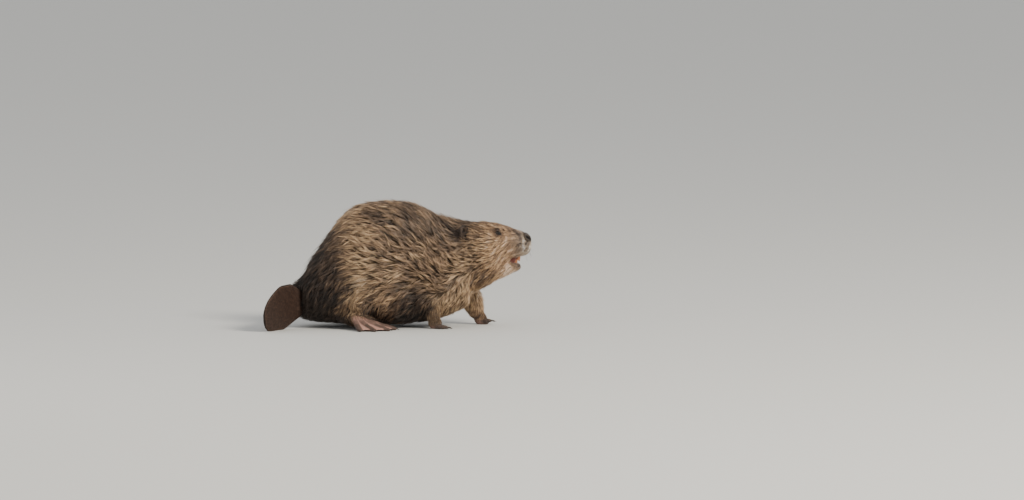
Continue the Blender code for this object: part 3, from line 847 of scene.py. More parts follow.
# Hairs that stand out: their share, how much longer and how steep they are. In RAISED, where more do:
# x, z, how far round, the share of hairs and how much longer.
PROUD_SHARE, PROUD_LONGER, PROUD_LIFT = 0.02, 1.25, (1.2, 1.9)
RAISED = (
    (152, 284, 34, 0.30, 1.15),
    (-190, 215, 60, 0.07, 1.35),
    (-228, 95, 52, 0.28, 1.5),
    (218, 74, 30, 0.35, 1.25),
)
RAISED_CORE = 0.6

# How far locks and hairs stray from the coat's tone, less so where it is dark, and few past the palest.
LOCK_TONE, HAIR_TONE, TONE_LENGTHS, DARK_STRAY = 0.17, 0.06, (3, 16), 0.35
PALEST_LOCK, LEAST_ROOM = 0.89, 0.08


def owners(points, nodes):
    """The name of the solid that each point is nearest to."""
    names = (*FLESH_NAMES, *EAR_NAMES, *FOOT_NAMES)
    best = np.full(len(points), FAR)
    owner = np.zeros(len(points), int)
    for number, name in enumerate(names):
        solid = points_of(nodes[name])
        low, high = solid.min(0) - OWNER_REACH, solid.max(0) + OWNER_REACH
        close = np.nonzero(((points > low) & (points < high)).all(1))[0]
        search = solid_tree(nodes[name], solid).find_nearest
        away = np.array([search(place)[3] for place in points[close].tolist()])
        nearer = away < best[close]
        best[close[nearer]] = away[nearer]
        owner[close[nearer]] = number
    return np.array(names)[owner]


def is_foot(owner):
    return np.char.find(owner, "foot") >= 0


def foot_cover(owner, height, facing):
    """The share of the full coat that grows on each part of the feet, and 1 elsewhere."""
    fore = FORE_COVER[0] + FORE_COVER[1] * smoothstep(*FORE_HEIGHTS, height)
    hind = HIND_COVER * smoothstep(*HIND_HEIGHTS, height)
    cover = np.where(np.char.startswith(owner, "forefoot"), fore, hind)
    return np.where(is_foot(owner), cover * smoothstep(*FOOT_FACING, facing), 1)


class Surface:
    """The skin as triangles, with what grows on it."""

    def __init__(self, skin, nodes):
        self.nodes = nodes
        mesh = skin.data
        mesh.calc_loop_triangles()
        corners = np.zeros(len(mesh.loop_triangles) * 3, np.int32)
        mesh.loop_triangles.foreach_get("vertices", corners)
        self.triangles = corners.reshape(-1, 3)
        self.points = points_of(skin)
        self.normals = normals_of(skin)
        self.tree = BVHTree.FromPolygons(self.points.tolist(), self.triangles.tolist())

    def nearest(self, places):
        """The skin's points and smooth normals nearest to some places."""
        found = np.zeros_like(places)
        faces = np.zeros(len(places), int)
        search = self.tree.find_nearest
        for i, place in enumerate(places.tolist()):
            found[i], _, faces[i], _ = search(place)
        return found, unit(self.normals[self.triangles[faces]].mean(1))

    def hairs_wanted(self):
        """How many hairs it takes to cover each triangle."""
        a, b, c = (self.points[self.triangles[:, k]] for k in range(3))
        middle = (a + b + c) / 3
        across = np.cross(b - a, c - a)
        area, facing = np.linalg.norm(across, axis=1) / 2, unit(across)[:, 2]
        length, height = coat_at(middle)[2], middle[:, 2]
        cover = between(SHORT_COVER, LONG_COVER, smoothstep(*COVER_LENGTHS, length))
        under = (facing < UNDER_FACING) * (height < UNDER_HEIGHT)
        wanted = area * cover / (length * usual_width(length)) * (1 - UNDER_LESS * under)
        furred = bare_at(middle) < 0.5
        return wanted * (furred * foot_cover(owners(middle, self.nodes), height, facing))

    def roots(self, rng):
        """Roots of hairs, spread evenly over what is wanted, and the skin's normals there."""
        total = np.cumsum(self.hairs_wanted())
        count = int(total[-1])
        picked = np.searchsorted(total, np.arange(count) + rng.uniform(0, 1, count))
        picked = np.minimum(picked, len(total) - 1)
        u, v = rng.uniform(0, 1, (2, count))
        over = u + v > 1
        u[over], v[over] = 1 - u[over], 1 - v[over]
        weights = np.column_stack([1 - u - v, u, v])[:, :, None]
        chosen = self.triangles[picked]
        places, normals = ((field[chosen] * weights).sum(1) for field in (self.points, self.normals))
        return places, unit(normals)


def usual_width(length):
    return HAIR_WIDTH[0] + HAIR_WIDTH[1] * length


def turned(way, about, angle):
    """Vectors turned about others that they stand square to."""
    return way * np.cos(angle)[:, None] + np.cross(about, way) * np.sin(angle)[:, None]


def flat_part(way, normal):
    return way - normal * (way * normal).sum(1, keepdims=True)


def varied(rule, mood, rng):
    """Shares that stray by the lock's mood and by the hair, within limits."""
    usual, by_lock, by_hair, least, most = rule
    return np.clip(usual + by_lock * mood + by_hair * rng.normal(size=len(mood)), least, most)


class Hairs:
    """Hairs combed along the skin and gathered into locks."""

    def __init__(self, surface, places, normals, owner, rings, rng):
        self.places, self.normals, self.rings = places, normals, rings
        self.shares = [share for share, _ in rings] + [1]
        self.read_coat(owner)
        self.form_locks(rng)
        self.stray(rng)
        self.raise_some(rng)
        self.tint(rng)
        self.paths = self.drawn_together(self.lifted(self.combed(surface)))

    def read_coat(self, owner):
        """The lie, depth, length and tone of the coat at each root."""
        way, depth, length, tone = coat_at(self.places)
        self.on_foot = is_foot(owner) * fade(*FOOT_HEIGHTS, self.places[:, 2])
        self.length = between(length, FOOT_HAIR, self.on_foot)
        self.depth = between(depth, FOOT_DEPTH, self.on_foot)
        self.tone = tone - FOOT_DARKER * self.on_foot
        self.way = unit(between(way, np.array(FOOT_LIE), self.on_foot[:, None]))

    def form_locks(self, rng):
        """Each lock has a leading hair, and the others near it follow that."""
        count = len(self.places)
        self.leaders = rng.permutation(count)[: max(1, count // LOCK_SIZE)]
        tree = KDTree(len(self.leaders))
        for i, leader in enumerate(self.leaders):
            tree.insert(self.places[leader], i)
        tree.balance()
        places = self.places.tolist()
        near = np.array([[index for _, index, _ in tree.find_n(place, LOCK_CHOICE)] for place in places])
        offset = self.places[self.leaders[near]] - self.places[:, None, :]
        along = (offset * self.way[:, None, :]).sum(2)
        apart = (offset**2).sum(2) - LOCK_STRETCH * along**2
        self.lock = near[np.arange(count), apart.argmin(1)]

    def stray(self, rng):
        """How each hair sways, bends and waves along the skin, how far it reaches and how it rises."""
        count, places = len(self.places), self.places
        self.mood = rng.normal(size=(len(self.leaders), 4))[self.lock].T
        swaying, bending, waving, rising = self.mood
        unruly = CALM + UNRULY * smoothstep(*UNRULY_LENGTHS, self.length)
        sway = swirl(places, SWAY_SEED, SWAY_WAVE) * SWAY + swirl(places, RIPPLE_SEED, RIPPLE_WAVE) * RIPPLE
        sway += swaying * LOCK_SWAY + rng.normal(size=count) * HAIR_SWAY
        sway += WILD_SWAY * rng.normal(size=count) * (rng.uniform(size=count) > TAME_SHARE)
        self.sway = np.radians(sway * unruly)
        self.bend = radians(BEND) * unruly * (swirl(places, BEND_SEED, BEND_WAVE) + LOCK_BEND * bending)
        self.wave = radians(WAVE) * waving * smoothstep(*WAVE_LENGTHS, self.length)
        self.phase = rng.uniform(0, 2 * pi, len(self.leaders))[self.lock]
        self.reach = self.length * varied(REACH, waving, rng)
        self.lift = varied(LIFT, rising, rng)

    def raise_some(self, rng):
        """Lets a few hairs stand out from the coat, and more of them at the places in RAISED."""
        count = len(self.places)
        share, longer = np.full(count, PROUD_SHARE), np.full(count, PROUD_LONGER)
        for x, z, radius, more, extra in RAISED:
            away = np.hypot(self.places[:, 0] - x, self.places[:, 2] - z)
            near = fade(radius * RAISED_CORE, radius, away)
            share = np.maximum(share, more * near)
            longer = np.maximum(longer, extra * near)
        proud = rng.uniform(size=count) < share
        self.lift = np.where(proud, rng.uniform(*PROUD_LIFT, count), self.lift)
        self.reach = np.where(proud, self.reach * longer, self.reach)
        width = usual_width(self.length) * rng.uniform(*WIDTH_SPREAD, count)
        self.width = width * np.where(proud, PROUD_WIDTH, 1)

    def tint(self, rng):
        """Lets tones stray by the lock and by the hair, and gives each hair a chance of its own."""
        count = len(self.places)
        stray = LOCK_TONE * self.mood[3] * smoothstep(*TONE_LENGTHS, self.length)
        stray = (stray + HAIR_TONE * rng.normal(size=count)) * (DARK_STRAY + self.tone)
        stray = np.minimum(stray, np.maximum(PALEST_LOCK - self.tone, LEAST_ROOM))
        self.tone = np.clip(self.tone + stray, 0, 1)
        self.chance = rng.uniform(size=count)

    def combed(self, surface):
        """Where each ring of the hairs stands on the skin. Keeps which way is up there."""
        ground, upward = self.places, self.normals
        steep = np.abs((self.way * upward).sum(1))[:, None]
        way = self.way + np.array(DROOP) * steep * (1 - self.on_foot)[:, None]
        heading = turned(unit(flat_part(way, upward)), upward, self.sway)
        grounds, self.upwards = [ground], [upward]
        for before, share in zip(self.shares, self.shares[1:]):
            swing = np.sin(self.phase + WAVE_TURNS * share) - np.sin(self.phase + WAVE_TURNS * before)
            turn = self.bend * (share - before) * 2 + self.wave * swing
            heading = turned(unit(flat_part(heading, upward)), upward, turn)
            ground, upward = surface.nearest(ground + heading * (self.reach * (share - before))[:, None])
            grounds.append(ground)
            self.upwards.append(upward)
        return grounds

    def lifted(self, grounds):
        """The hairs' paths over the skin, rising in an eased curve."""
        paths = []
        for share, ground, upward in zip(self.shares, grounds, self.upwards):
            height = self.depth * self.lift * (1 - (1 - share) ** 2) - ROOT_DEPTH * (share == 0)
            paths.append(ground + upward * height[:, None])
        eased = [(a + b * 2 + c) / 4 for a, b, c in zip(paths, paths[1:], paths[2:])]
        return [paths[0], *eased, paths[-1]]

    def drawn_together(self, paths):
        """The paths, each drawn towards its lock's leader, and more so towards the tip."""
        followed = self.leaders[self.lock]
        pull = LOCK_PULL * smoothstep(*PULL_LENGTHS, self.length)
        ahead = unit(paths[-1] - paths[0])
        drawn = []
        for share, path in zip(self.shares, paths):
            # Sideways only, so that hairs longer than their leader don't hook back at the tip.
            offset = flat_part(path[followed] - path, ahead)
            far = np.maximum(np.linalg.norm(offset, axis=1), 1e-6)
            offset *= np.minimum(1, MOST_PULLED / far)[:, None]
            moved = path + offset * (pull * share**PULL_CURVE)[:, None]
            moved[:, 2] = np.maximum(moved[:, 2], PATH_ABOVE)
            drawn.append(moved)
        return drawn

    def mesh_of(self, name, chosen, cells):
        """Some of the hairs as one piece."""
        paths = [path[chosen] for path in self.paths]
        upwards = [upward[chosen] for upward in self.upwards]
        marks = np.column_stack([self.tone[chosen], self.chance[chosen]])
        return horns(name, self.rings, paths, upwards, self.width[chosen], marks, cells)

    def pieces(self, name, chosen, upright):
        """Some of the hairs as pieces that are small enough, cut across the body or the leg."""
        places = self.places[chosen]
        along = places[:, 2 if upright else 0]
        shares = int(np.ceil(len(chosen) * len(horn_faces(len(self.rings))) / PIECE_TRIANGLES))
        made = []
        for number, some in enumerate(np.array_split(np.argsort(along, kind="stable"), shares)):
            away = places[some] - places[some].mean(0)
            around = np.arctan2(away[:, 1], -away[:, 0] if upright else away[:, 2])
            piece = name + (f"_{number + 1}" if shares > 1 else "")
            made.append(self.mesh_of(piece, chosen[some], map_cells(along[some], around)))
        return made


def horn_faces(levels):
    """Triangles of one horn: its base, its sides and its tip."""
    faces = [(0, 1, 2)]
    for i in range(levels - 1):
        for j in range(3):
            a, b = 3 * i + j, 3 * i + (j + 1) % 3
            faces += [(a, a + 3, b), (b, a + 3, b + 3)]
    last, tip = 3 * (levels - 1), 3 * levels
    return faces + [(last + j, tip, last + (j + 1) % 3) for j in range(3)]


def horns(name, rings, paths, upwards, widths, marks, cells):
    """Closed horns with three sides. Cells are their places in the map that colours are laid out in."""
    verts, along, across = [], [], []
    for i, (share, thick) in enumerate(rings):
        ahead = unit(paths[i + 1] - paths[max(i - 1, 0)])
        aside = unit(np.cross(ahead, upwards[i]))
        out = np.cross(aside, ahead)
        half = (widths * thick / 2)[:, None]
        verts += [paths[i] - aside * half, paths[i] + out * half, paths[i] + aside * half]
        along += [share] * 3
        across += [0, 0.5, 1]
    verts = np.stack([*verts, paths[-1]], 1)
    along, across = [*along, 1], [*across, 0.5]
    count, each, _ = verts.shape
    verts[:, :, 2] = np.maximum(verts[:, :, 2], HAIR_ABOVE)
    faces = np.array(horn_faces(len(rings)))
    corners = (faces[None] + each * np.arange(count)[:, None, None]).reshape(-1)
    made = linked(name, triangle_mesh(name, verts.reshape(-1, 3), corners))
    kept = np.zeros((count, each, 3))
    kept[:, :, 0] = along
    kept[:, :, 1:] = marks[:, None, :]
    set_mark(made, "hair", kept)
    flat = np.column_stack([across, along]) * PATCH
    uv = (cells[:, None, :] + flat[None]).reshape(-1, 2)[corners]
    made.data.uv_layers.new(name="OFBake").uv.foreach_set("vector", uv.astype(np.float32).ravel())
    return made


def triangle_mesh(name, verts, corners):
    """A mesh of triangles from points in millimetres and a run of corner numbers."""
    mesh = bpy.data.meshes.new(name)
    mesh.vertices.add(len(verts))
    mesh.vertices.foreach_set("co", (verts * MM).astype(np.float32).ravel())
    mesh.loops.add(len(corners))
    mesh.loops.foreach_set("vertex_index", corners.astype(np.int32))
    mesh.polygons.add(len(corners) // 3)
    mesh.polygons.foreach_set("loop_start", np.arange(0, len(corners), 3, dtype=np.int32))
    mesh.update(calc_edges=True)
    mesh.shade_smooth()
    return mesh


def map_cells(along, around):
    """A place of its own for each root on an unwrap of the skin: along the body, then around it."""
    count = len(along)
    columns = int(np.ceil(count**0.5))
    cells = np.zeros((count, 2))
    order = np.argsort(along, kind="stable")
    for column, members in enumerate(np.array_split(order, columns)):
        ranked = members[np.argsort(around[members], kind="stable")]
        cells[ranked, 0] = (column + CELL_MARGIN) / columns
        cells[ranked, 1] = (np.arange(len(ranked)) + CELL_MARGIN) / (columns + 1)
    return cells


def coat_pieces(surface, nodes):
    """The whole coat, in pieces by the part of the body that they grow on."""
    rng = np.random.default_rng(SEED)
    places, normals = surface.roots(rng)
    owner = owners(places, nodes)
    is_long = np.isin(owner, LONG_HAIRED)
    pieces = []
    for rings, members in ((LONG_RINGS, is_long), (SHORT_RINGS, ~is_long)):
        hairs = Hairs(surface, places[members], normals[members], owner[members], rings, rng)
        for group, names in COAT_GROUPS.items():
            chosen = np.nonzero(np.isin(owner[members], names))[0]
            if len(chosen):
                pieces += hairs.pieces(f"coat_{group}", chosen, upright=group.startswith("leg"))
    return pieces


# Eyes, teeth, claws, tail and whiskers

EYE_RADIUS, EYE_GRID = 7.6, (64, 48)
CORNEA_SWELL, CORNEA_WIDTH, CORNEA_FLAT = 0.5, 0.72, 4  # its height, its width in radians, its shape

# Claws: width and depth at the base, how much they arch for their length, where they begin and taper.
CLAW_BASE = {"forefoot": (3.4, 4.2), "hindfoot": (5.0, 5.4)}
CLAW_ARCH, CLAW_FROM, CLAW_RINGS, CLAW_SIDES = 0.10, -0.25, 12, 14
CLAW_TAPER, CLAW_TIP, CLAW_ABOVE = (0.88, 1.6), 0.12, 0.1

# Incisors, from share to share of their solid's height. TOOTH_AHEAD is how far before them the search
# for their front starts. The last numbers thin their cutting edges.
TOOTH_GAP, TOOTH_DEPTH, TOOTH_SQUARE, TOOTH_AHEAD = 0.5, 8, 0.62, 20
TOOTH_ENDS, TOOTH_RINGS, TOOTH_SIDES = (0.02, 0.985), 16, 20
TOOTH_EDGE, TOOTH_THINNER = (0.8, 1.0), 0.7

# The tail's scales, and how finely the blade is made. Its outline is read in sectors and eased.
TAIL_VOXEL, TAIL_TURNS, TAIL_ABOVE = 1.25, 6, 0.05
TAIL_SECTORS, TAIL_EASED, TAIL_READ = 180, 9, 2
SCALE_SIZE = (5.2, 8.4)  # the net repeats at these lengths along the tail and up it
SCALE_RELIEF, SCALE_GROOVE, SCALES_FROM, RIM_WIDTH = 0.45, 0.9, (2.0, 5.0), 20
SCALE_HASH = (12.9898, 78.233, 43758.5453)  # scatters tones over the cells of the net

# Whiskers. Their turns from straight ahead: at the foremost and uppermost, and more for each next one.
WHISKER_LENGTH, WHISKER_WIDTH, WHISKER_ROOT = 60, 0.55, 0.6
WHISKER_RINGS = ((0, 1.0), (0.2, 0.95), (0.4, 0.85), (0.6, 0.7), (0.8, 0.5))
WHISKER_BACK, WHISKER_DOWN = (12, 22), (2, 11)
WHISKER_FORWARD, WHISKER_OUT, WHISKER_LIFT = 0.9, 0.4, 0.3
WHISKER_SHARES = (0.6, 0.1, 0.25)  # of the length: at the front, more for each next one, and by chance
WHISKER_SAG, WHISKER_SINK, WHISKER_ASIDE = 0.16, (0.6, 0, 1), 30
WHISKER_TONES = (0.0, 0.75)


def eyeball(side, sign):
    """A wet ball with a swollen cornea. Marks tell how far each point is from its sight line."""
    centre, sight, *_ = eye_frame(side, sign)
    turn = Vector(sight).to_track_quat("Z", "Y").to_matrix()
    mesh = bpy.data.meshes.new(f"eyeball_{side}")
    shares = []
    with edited(mesh) as bm:
        bmesh.ops.create_uvsphere(bm, u_segments=EYE_GRID[0], v_segments=EYE_GRID[1], radius=1)
        for vert in bm.verts:
            angle = np.arccos(np.clip(vert.co.z, -1, 1))
            shares.append((angle / pi, 0, 0))
            swell = CORNEA_SWELL * np.exp(-((angle / CORNEA_WIDTH) ** CORNEA_FLAT))
            vert.co = (Vector(centre) + turn @ vert.co * (EYE_RADIUS + swell)) * MM
    mesh.shade_smooth()
    made = linked(mesh.name, mesh)
    set_mark(made, "eye", shares)
    return made


def claw(foot, number):
    """A horn that curves down to a blunt point, deeper than it is wide."""
    root, tip = foot.claws[number]
    ahead = tip - root
    width, depth = CLAW_BASE[foot.kind]
    aside = unit(np.cross(ahead, (0, 0, 1)))
    over = np.cross(aside, unit(ahead))
    angles = all_round(CLAW_SIDES)
    circle = [aside * cos(angle) * width + over * sin(angle) * depth for angle in angles]
    rings = []
    for share in np.linspace(CLAW_FROM, 1, CLAW_RINGS):
        arch = CLAW_ARCH * np.linalg.norm(ahead) * sin(pi * max(share, 0))
        place = root + ahead * share + np.array((0, 0, arch))
        taper = (1 - max(share, 0) ** CLAW_TAPER[1]) * CLAW_TAPER[0] + CLAW_TIP
        rings.append([place + out * taper / 2 for out in circle])
    made = lathe(f"{foot.name}_horn_{number + 1}", rings)
    set_points(made, points_of(made), CLAW_ABOVE)
    made.data.shade_smooth()
    return made


def incisors(name, nodes, up):
    """Two chisels side by side whose fronts follow the solid bar. Up is true where they hang down."""
    points = points_of(nodes[name])
    tree = solid_tree(nodes[name], points)
    low, high = points.min(0), points.max(0)
    middle = (low[1] + high[1]) / 2
    half = (high[1] - low[1]) / 4 - TOOTH_GAP / 2
    root, edge = (high[2], low[2]) if up else (low[2], high[2])
    circle = [np.array((cos(angle), sin(angle))) for angle in all_round(TOOTH_SIDES)]
    squarish = [np.sign(way) * np.abs(way) ** TOOTH_SQUARE for way in circle]
    made = []
    for side, sign in SIDES:
        centre = middle + sign * (half + TOOTH_GAP / 2)
        rings = []
        for share in np.linspace(*TOOTH_ENDS, TOOTH_RINGS):
            z = between(root, edge, share)
            front = tree.ray_cast(Vector((high[0] + TOOTH_AHEAD, centre, z)), Vector((-1, 0, 0)))[0][0]
            behind = front - TOOTH_DEPTH * (1 - TOOTH_THINNER * smoothstep(*TOOTH_EDGE, share))
            x = (front + behind) / 2
            rings.append([(x + u * (front - behind) / 2, centre + v * half, z) for u, v in squarish])
        tooth = lathe(f"{name}_{side}", rings)
        tooth.data.shade_smooth()
        made.append(tooth)
    return made


def tail_blade(nodes):
    """The scaly paddle. Marks hold each scale's tone, the groove round it and the nearness of the rim."""
    made = merged("tail_scales", [closed_copy(nodes["tail_blade"])], TAIL_VOXEL, TAIL_TURNS)
    points, normals = points_of(made), normals_of(made)
    centre = points.mean(0)
    thin = np.linalg.eigh(np.cov((points - centre).T))[1][:, 0]
    up = unit(np.array((0, 0, 1.0)) - thin * thin[2])
    long_way = np.cross(up, thin)
    u, v = (points - centre) @ long_way, (points - centre) @ up
    rounder, inside = eased_outline(u, v)
    points += ((rounder - 1) * u)[:, None] * long_way + ((rounder - 1) * v)[:, None] * up
    # Cells of a net of hexagons, whose nearest two centres tell how far the groove is.
    first, second, cell = hexagons(u * rounder, v * rounder)
    groove = fade(0.0, SCALE_GROOVE, second - first)
    face = smoothstep(*SCALES_FROM, inside)
    relief = (1 - groove) * SCALE_RELIEF * face
    set_points(made, points + normals * (relief - SCALE_RELIEF)[:, None], TAIL_ABOVE)
    by_column, by_row, scatter = SCALE_HASH
    tone = np.abs(np.sin(cell[:, 0] * by_column + cell[:, 1] * by_row) * scatter) % 1
    set_mark(made, "scale", np.column_stack([tone, groove * face, np.clip(inside / RIM_WIDTH, 0, 1)]))
    made.data.shade_smooth()
    return made


def eased_outline(u, v):
    """How much further out each point goes as the blade's corners are eased, and its way to the rim."""
    angle, radius = np.arctan2(v, u), np.hypot(u, v)
    sector = np.round((angle + pi) / (2 * pi) * TAIL_SECTORS).astype(int) % TAIL_SECTORS
    edge = np.array([radius[sector == k].max() for k in range(TAIL_SECTORS)])
    turns = np.linspace(-pi, pi, TAIL_SECTORS + 1)
    eased = rounded(edge, TAIL_EASED)
    rounder = np.interp(angle, turns, eased / rounded(edge, TAIL_READ))
    return rounder, np.interp(angle, turns, eased) - radius * rounder


def rounded(edge, spread):
    """Distances of an outline all round, with its corners eased. The first is repeated at the end."""
    share = np.hanning(2 * spread + 3)[1:-1]
    eased = np.convolve(np.pad(edge, spread, "wrap"), share / share.sum(), "valid")
    return np.append(eased, eased[0])


def hexagons(u, v):
    """Distances to the nearest two centres of a hexagonal net, and the nearest one's place in it."""
    wide, tall = SCALE_SIZE
    found, cells = [], []
    for shift in (0, 0.5):
        for step in (-1, 0, 1):
            for row_step in (-1, 0, 1):
                column = np.round(u / wide - shift) + step + shift
                row = np.round(v / tall - shift) + row_step + shift
                found.append(np.hypot(u - column * wide, v - row * tall))
                cells.append(np.column_stack([column, row]))
    found, cells = np.array(found), np.array(cells)
    order = np.argsort(found, axis=0)
    each = np.arange(len(u))
    return found[order[0], each], found[order[1], each], cells[order[0], each]


def whiskers(surface):
    """Stiff hairs on both sides of the muzzle."""
    rng = np.random.default_rng(WHISKER_SEED)
    shortest, longer, by_chance = WHISKER_SHARES
    roots, ways, shares = [], [], []
    for _, sign in SIDES:
        for x, z in whisker_places():
            column, row = (WHISKER_FROM[0] - x) / WHISKER_STEP[0], (WHISKER_FROM[1] - z) / WHISKER_STEP[1]
            roots.append((x, middle_of("nose")[1] + sign * WHISKER_ASIDE, z))
            back = radians(WHISKER_BACK[0] + column * WHISKER_BACK[1])
            down = radians(WHISKER_DOWN[0] + row * WHISKER_DOWN[1])
            aside = sign * (WHISKER_OUT + sin(back))
            ways.append((cos(back) * cos(down) * WHISKER_FORWARD, aside, -sin(down)))
            shares.append(shortest + longer * column + rng.uniform(0, by_chance))
    roots, normals = surface.nearest(np.array(roots))
    ways = unit(unit(np.array(ways)) + normals * WHISKER_LIFT)
    lengths = WHISKER_LENGTH * np.array(shares)
    paths = []
    for share in [share for share, _ in WHISKER_RINGS] + [1]:
        drop = np.outer(lengths * share**2 * WHISKER_SAG, WHISKER_SINK)
        paths.append(roots - normals * WHISKER_ROOT + ways * (lengths * share)[:, None] - drop)
    count = len(lengths)
    marks = np.column_stack([rng.uniform(*WHISKER_TONES, count), rng.uniform(size=count)])
    cells = map_cells(roots[:, 0], roots[:, 1])
    upwards = [normals] * len(WHISKER_RINGS)
    return horns("whiskers", WHISKER_RINGS, paths, upwards, np.full(count, WHISKER_WIDTH), marks, cells)


# Materials

# Colours: the coat by its tone, its shade from root to tip, and how it varies by chance. The dark roots are
# partly dark underfur and partly painted shade between the locks, and tips brighter than the coat's tone
# are a painted highlight.
COAT_TONES = (
    (0.0, (0.020, 0.017, 0.016)),
    (0.25, (0.090, 0.062, 0.046)),
    (0.5, (0.258, 0.170, 0.110)),
    (0.75, (0.530, 0.352, 0.205)),
    (0.9, (0.680, 0.480, 0.290)),
    (1.0, (0.900, 0.740, 0.580)),
)
# Painted shade at the roots, partly dark underfur, and a painted highlight where the tips pass 1.
UNDERFUR_SHADE_TIP_HIGHLIGHT = ((0.0, 0.10), (0.3, 0.32), (0.65, 1.0), (1.0, 1.45))
CHANCE_SHADE = ((0, 0.72), (1, 1.2))
# How the coat pales and greys towards the muzzle, by x in metres.
HEAD_CAST = (
    (0.18, (1.0, 1.0, 1.0)),
    (0.24, (1.30, 1.23, 1.17)),
    (0.29, (1.46, 1.42, 1.46)),
    (0.325, (1.36, 1.62, 2.1)),
)
# The skin under the hair is kept dark, partly as dark underfur and partly as painted shade beneath the
# coat.
SKIN_UNDERFUR_AND_SHADE = (0.10, 0.095, 0.09)  # the skin's share of the coat's colour

# Bare skin by its hue: plain and black, the nose, the feet and the mouth. Where it is pebbled.
BARE_TONES = (
    (0.0, (0.008, 0.005, 0.004)),
    (0.2, (0.056, 0.046, 0.040)),
    (0.4, (0.095, 0.062, 0.050)),
    (0.6, (0.420, 0.235, 0.185)),
    (0.8, (0.110, 0.036, 0.028)),
)
PLAIN_HUE, LIP_HUE, NOSE_HUE, MOUTH_HUE = 0.03, 0.08, 0.20, 0.80
FOOT_HUES = {"forefoot": (0.46, 0.32), "hindfoot": (0.60, 0.38)}  # between and along the toes
ON_NOSE, IN_MOUTH, ON_LIP = 0.2, 0.3, 0.5
PEBBLED = ((0.04, 0.0), (0.12, 1.0), (0.66, 1.0), (0.76, 0.0))
PEBBLES = ((0.0, 0.0), (0.25, 0.8), (0.6, 1.0))  # height from the crease between them to their tops
SKIN_GRAIN = ((0.3, 0.6), (0.7, 1.25))

# Where skin is dark: in the nostrils, as painted shade in their grooves, on the upper lip's lower edge by
# x, slope and z, and along toes.
NOSTRIL_PAINTED_SHADE, TOE_DARK, TOE_STRETCHES = (2.8, 5.4), (5.5, 9.5), 8
LIP_X, LIP_SLOPE, LIP_Z = (300, 306), (-0.35, -0.7), (172, 192)

TAIL_TONES = ((0, (0.024, 0.013, 0.009)), (1, (0.046, 0.025, 0.017)))
TAIL_GROOVE = (0.014, 0.009, 0.008)
TAIL_RIM = ((0.0, 0.4), (0.14, 0.6), (0.22, 1.9), (0.34, 1.0), (1.0, 1.0))
TAIL_GRAIN = ((0.3, 0.75), (0.7, 1.2))
EYE_TONES = (
    (0.0, (0.002, 0.002, 0.002)),
    (0.13, (0.003, 0.002, 0.002)),
    (0.16, (0.016, 0.009, 0.006)),
    (0.24, (0.012, 0.007, 0.005)),
    (0.27, (0.006, 0.005, 0.004)),
)
EYE_FIBRES = ((0.35, 0.7), (0.65, 1.4))
ENAMEL = ((0.3, (0.27, 0.095, 0.038)), (0.7, (0.42, 0.17, 0.075)))
HORN = ((0.3, (0.016, 0.012, 0.010)), (0.7, (0.050, 0.036, 0.029)))


class Paint:
    """A material and its nodes. Sources are numbers, colours or the outputs of nodes."""

    def __init__(self, name, roughness, specular=0.5):
        self.material = bpy.data.materials.new(name)
        self.material.use_nodes = True
        self.tree = self.material.node_tree
        self.shader = self.tree.nodes["Principled BSDF"]
        self.shader.inputs["Roughness"].default_value = roughness
        self.shader.inputs["Specular IOR Level"].default_value = specular

    def node(self, kind, **settings):
        made = self.tree.nodes.new(kind)
        for key, value in settings.items():
            setattr(made, key, value)
        return made

    def feed(self, socket, source):
        if isinstance(source, (int, float)):
            socket.default_value = source
        elif isinstance(source, tuple):
            socket.default_value = (*source, 1)
        else:
            self.tree.links.new(source, socket)

    def place(self):
        """Where a point is on the object, in metres."""
        return self.node("ShaderNodeTexCoord").outputs["Object"]

    def parted(self, source):
        made = self.node("ShaderNodeSeparateXYZ")
        self.feed(made.inputs[0], source)
        return made.outputs

    def marks(self, name):
        """The three numbers kept on each point, as three outputs."""
        return self.parted(self.node("ShaderNodeAttribute", attribute_name=name).outputs["Vector"])

    def ramp(self, source, stops):
        """Colours or shares by a number from 0 to 1."""
        made = self.node("ShaderNodeValToRGB")
        band = made.color_ramp
        while len(band.elements) < len(stops):
            band.elements.new(0.5)
        for element, (place, value) in zip(band.elements, stops):
            element.position = place
            element.color = (*value, 1) if isinstance(value, tuple) else (value, value, value, 1)
        self.feed(made.inputs[0], source)
        return made.outputs[0]

    def mixed(self, share, first, second, blend="MIX"):
        made = self.node("ShaderNodeMix", data_type="RGBA", blend_type=blend)
        for number, source in ((0, share), (6, first), (7, second)):
            self.feed(made.inputs[number], source)
        return made.outputs[2]

    def times(self, first, second, share=1.0):
        return self.mixed(share, first, second, "MULTIPLY")

    def noise(self, scale, detail=3):
        """Grain that is fixed to the object."""
        made = self.node("ShaderNodeTexNoise")
        made.inputs["Scale"].default_value = scale
        made.inputs["Detail"].default_value = detail
        self.feed(made.inputs["Vector"], self.place())
        return made.outputs["Fac"]

    def cracks(self, scale):
        """How far a point is from the border of its cell."""
        made = self.node("ShaderNodeTexVoronoi", feature="DISTANCE_TO_EDGE")
        made.inputs["Scale"].default_value = scale
        self.feed(made.inputs["Vector"], self.place())
        return made.outputs["Distance"]

    def finished(self, colour, height=None, distance=0):
        """The material with its colour, and with a relief of some distance in metres if there is one."""
        self.feed(self.shader.inputs["Base Color"], colour)
        if height is not None:
            bump = self.node("ShaderNodeBump")
            bump.inputs["Distance"].default_value = distance
            self.feed(bump.inputs["Height"], height)
            self.feed(self.shader.inputs["Normal"], bump.outputs[0])
        return self.material


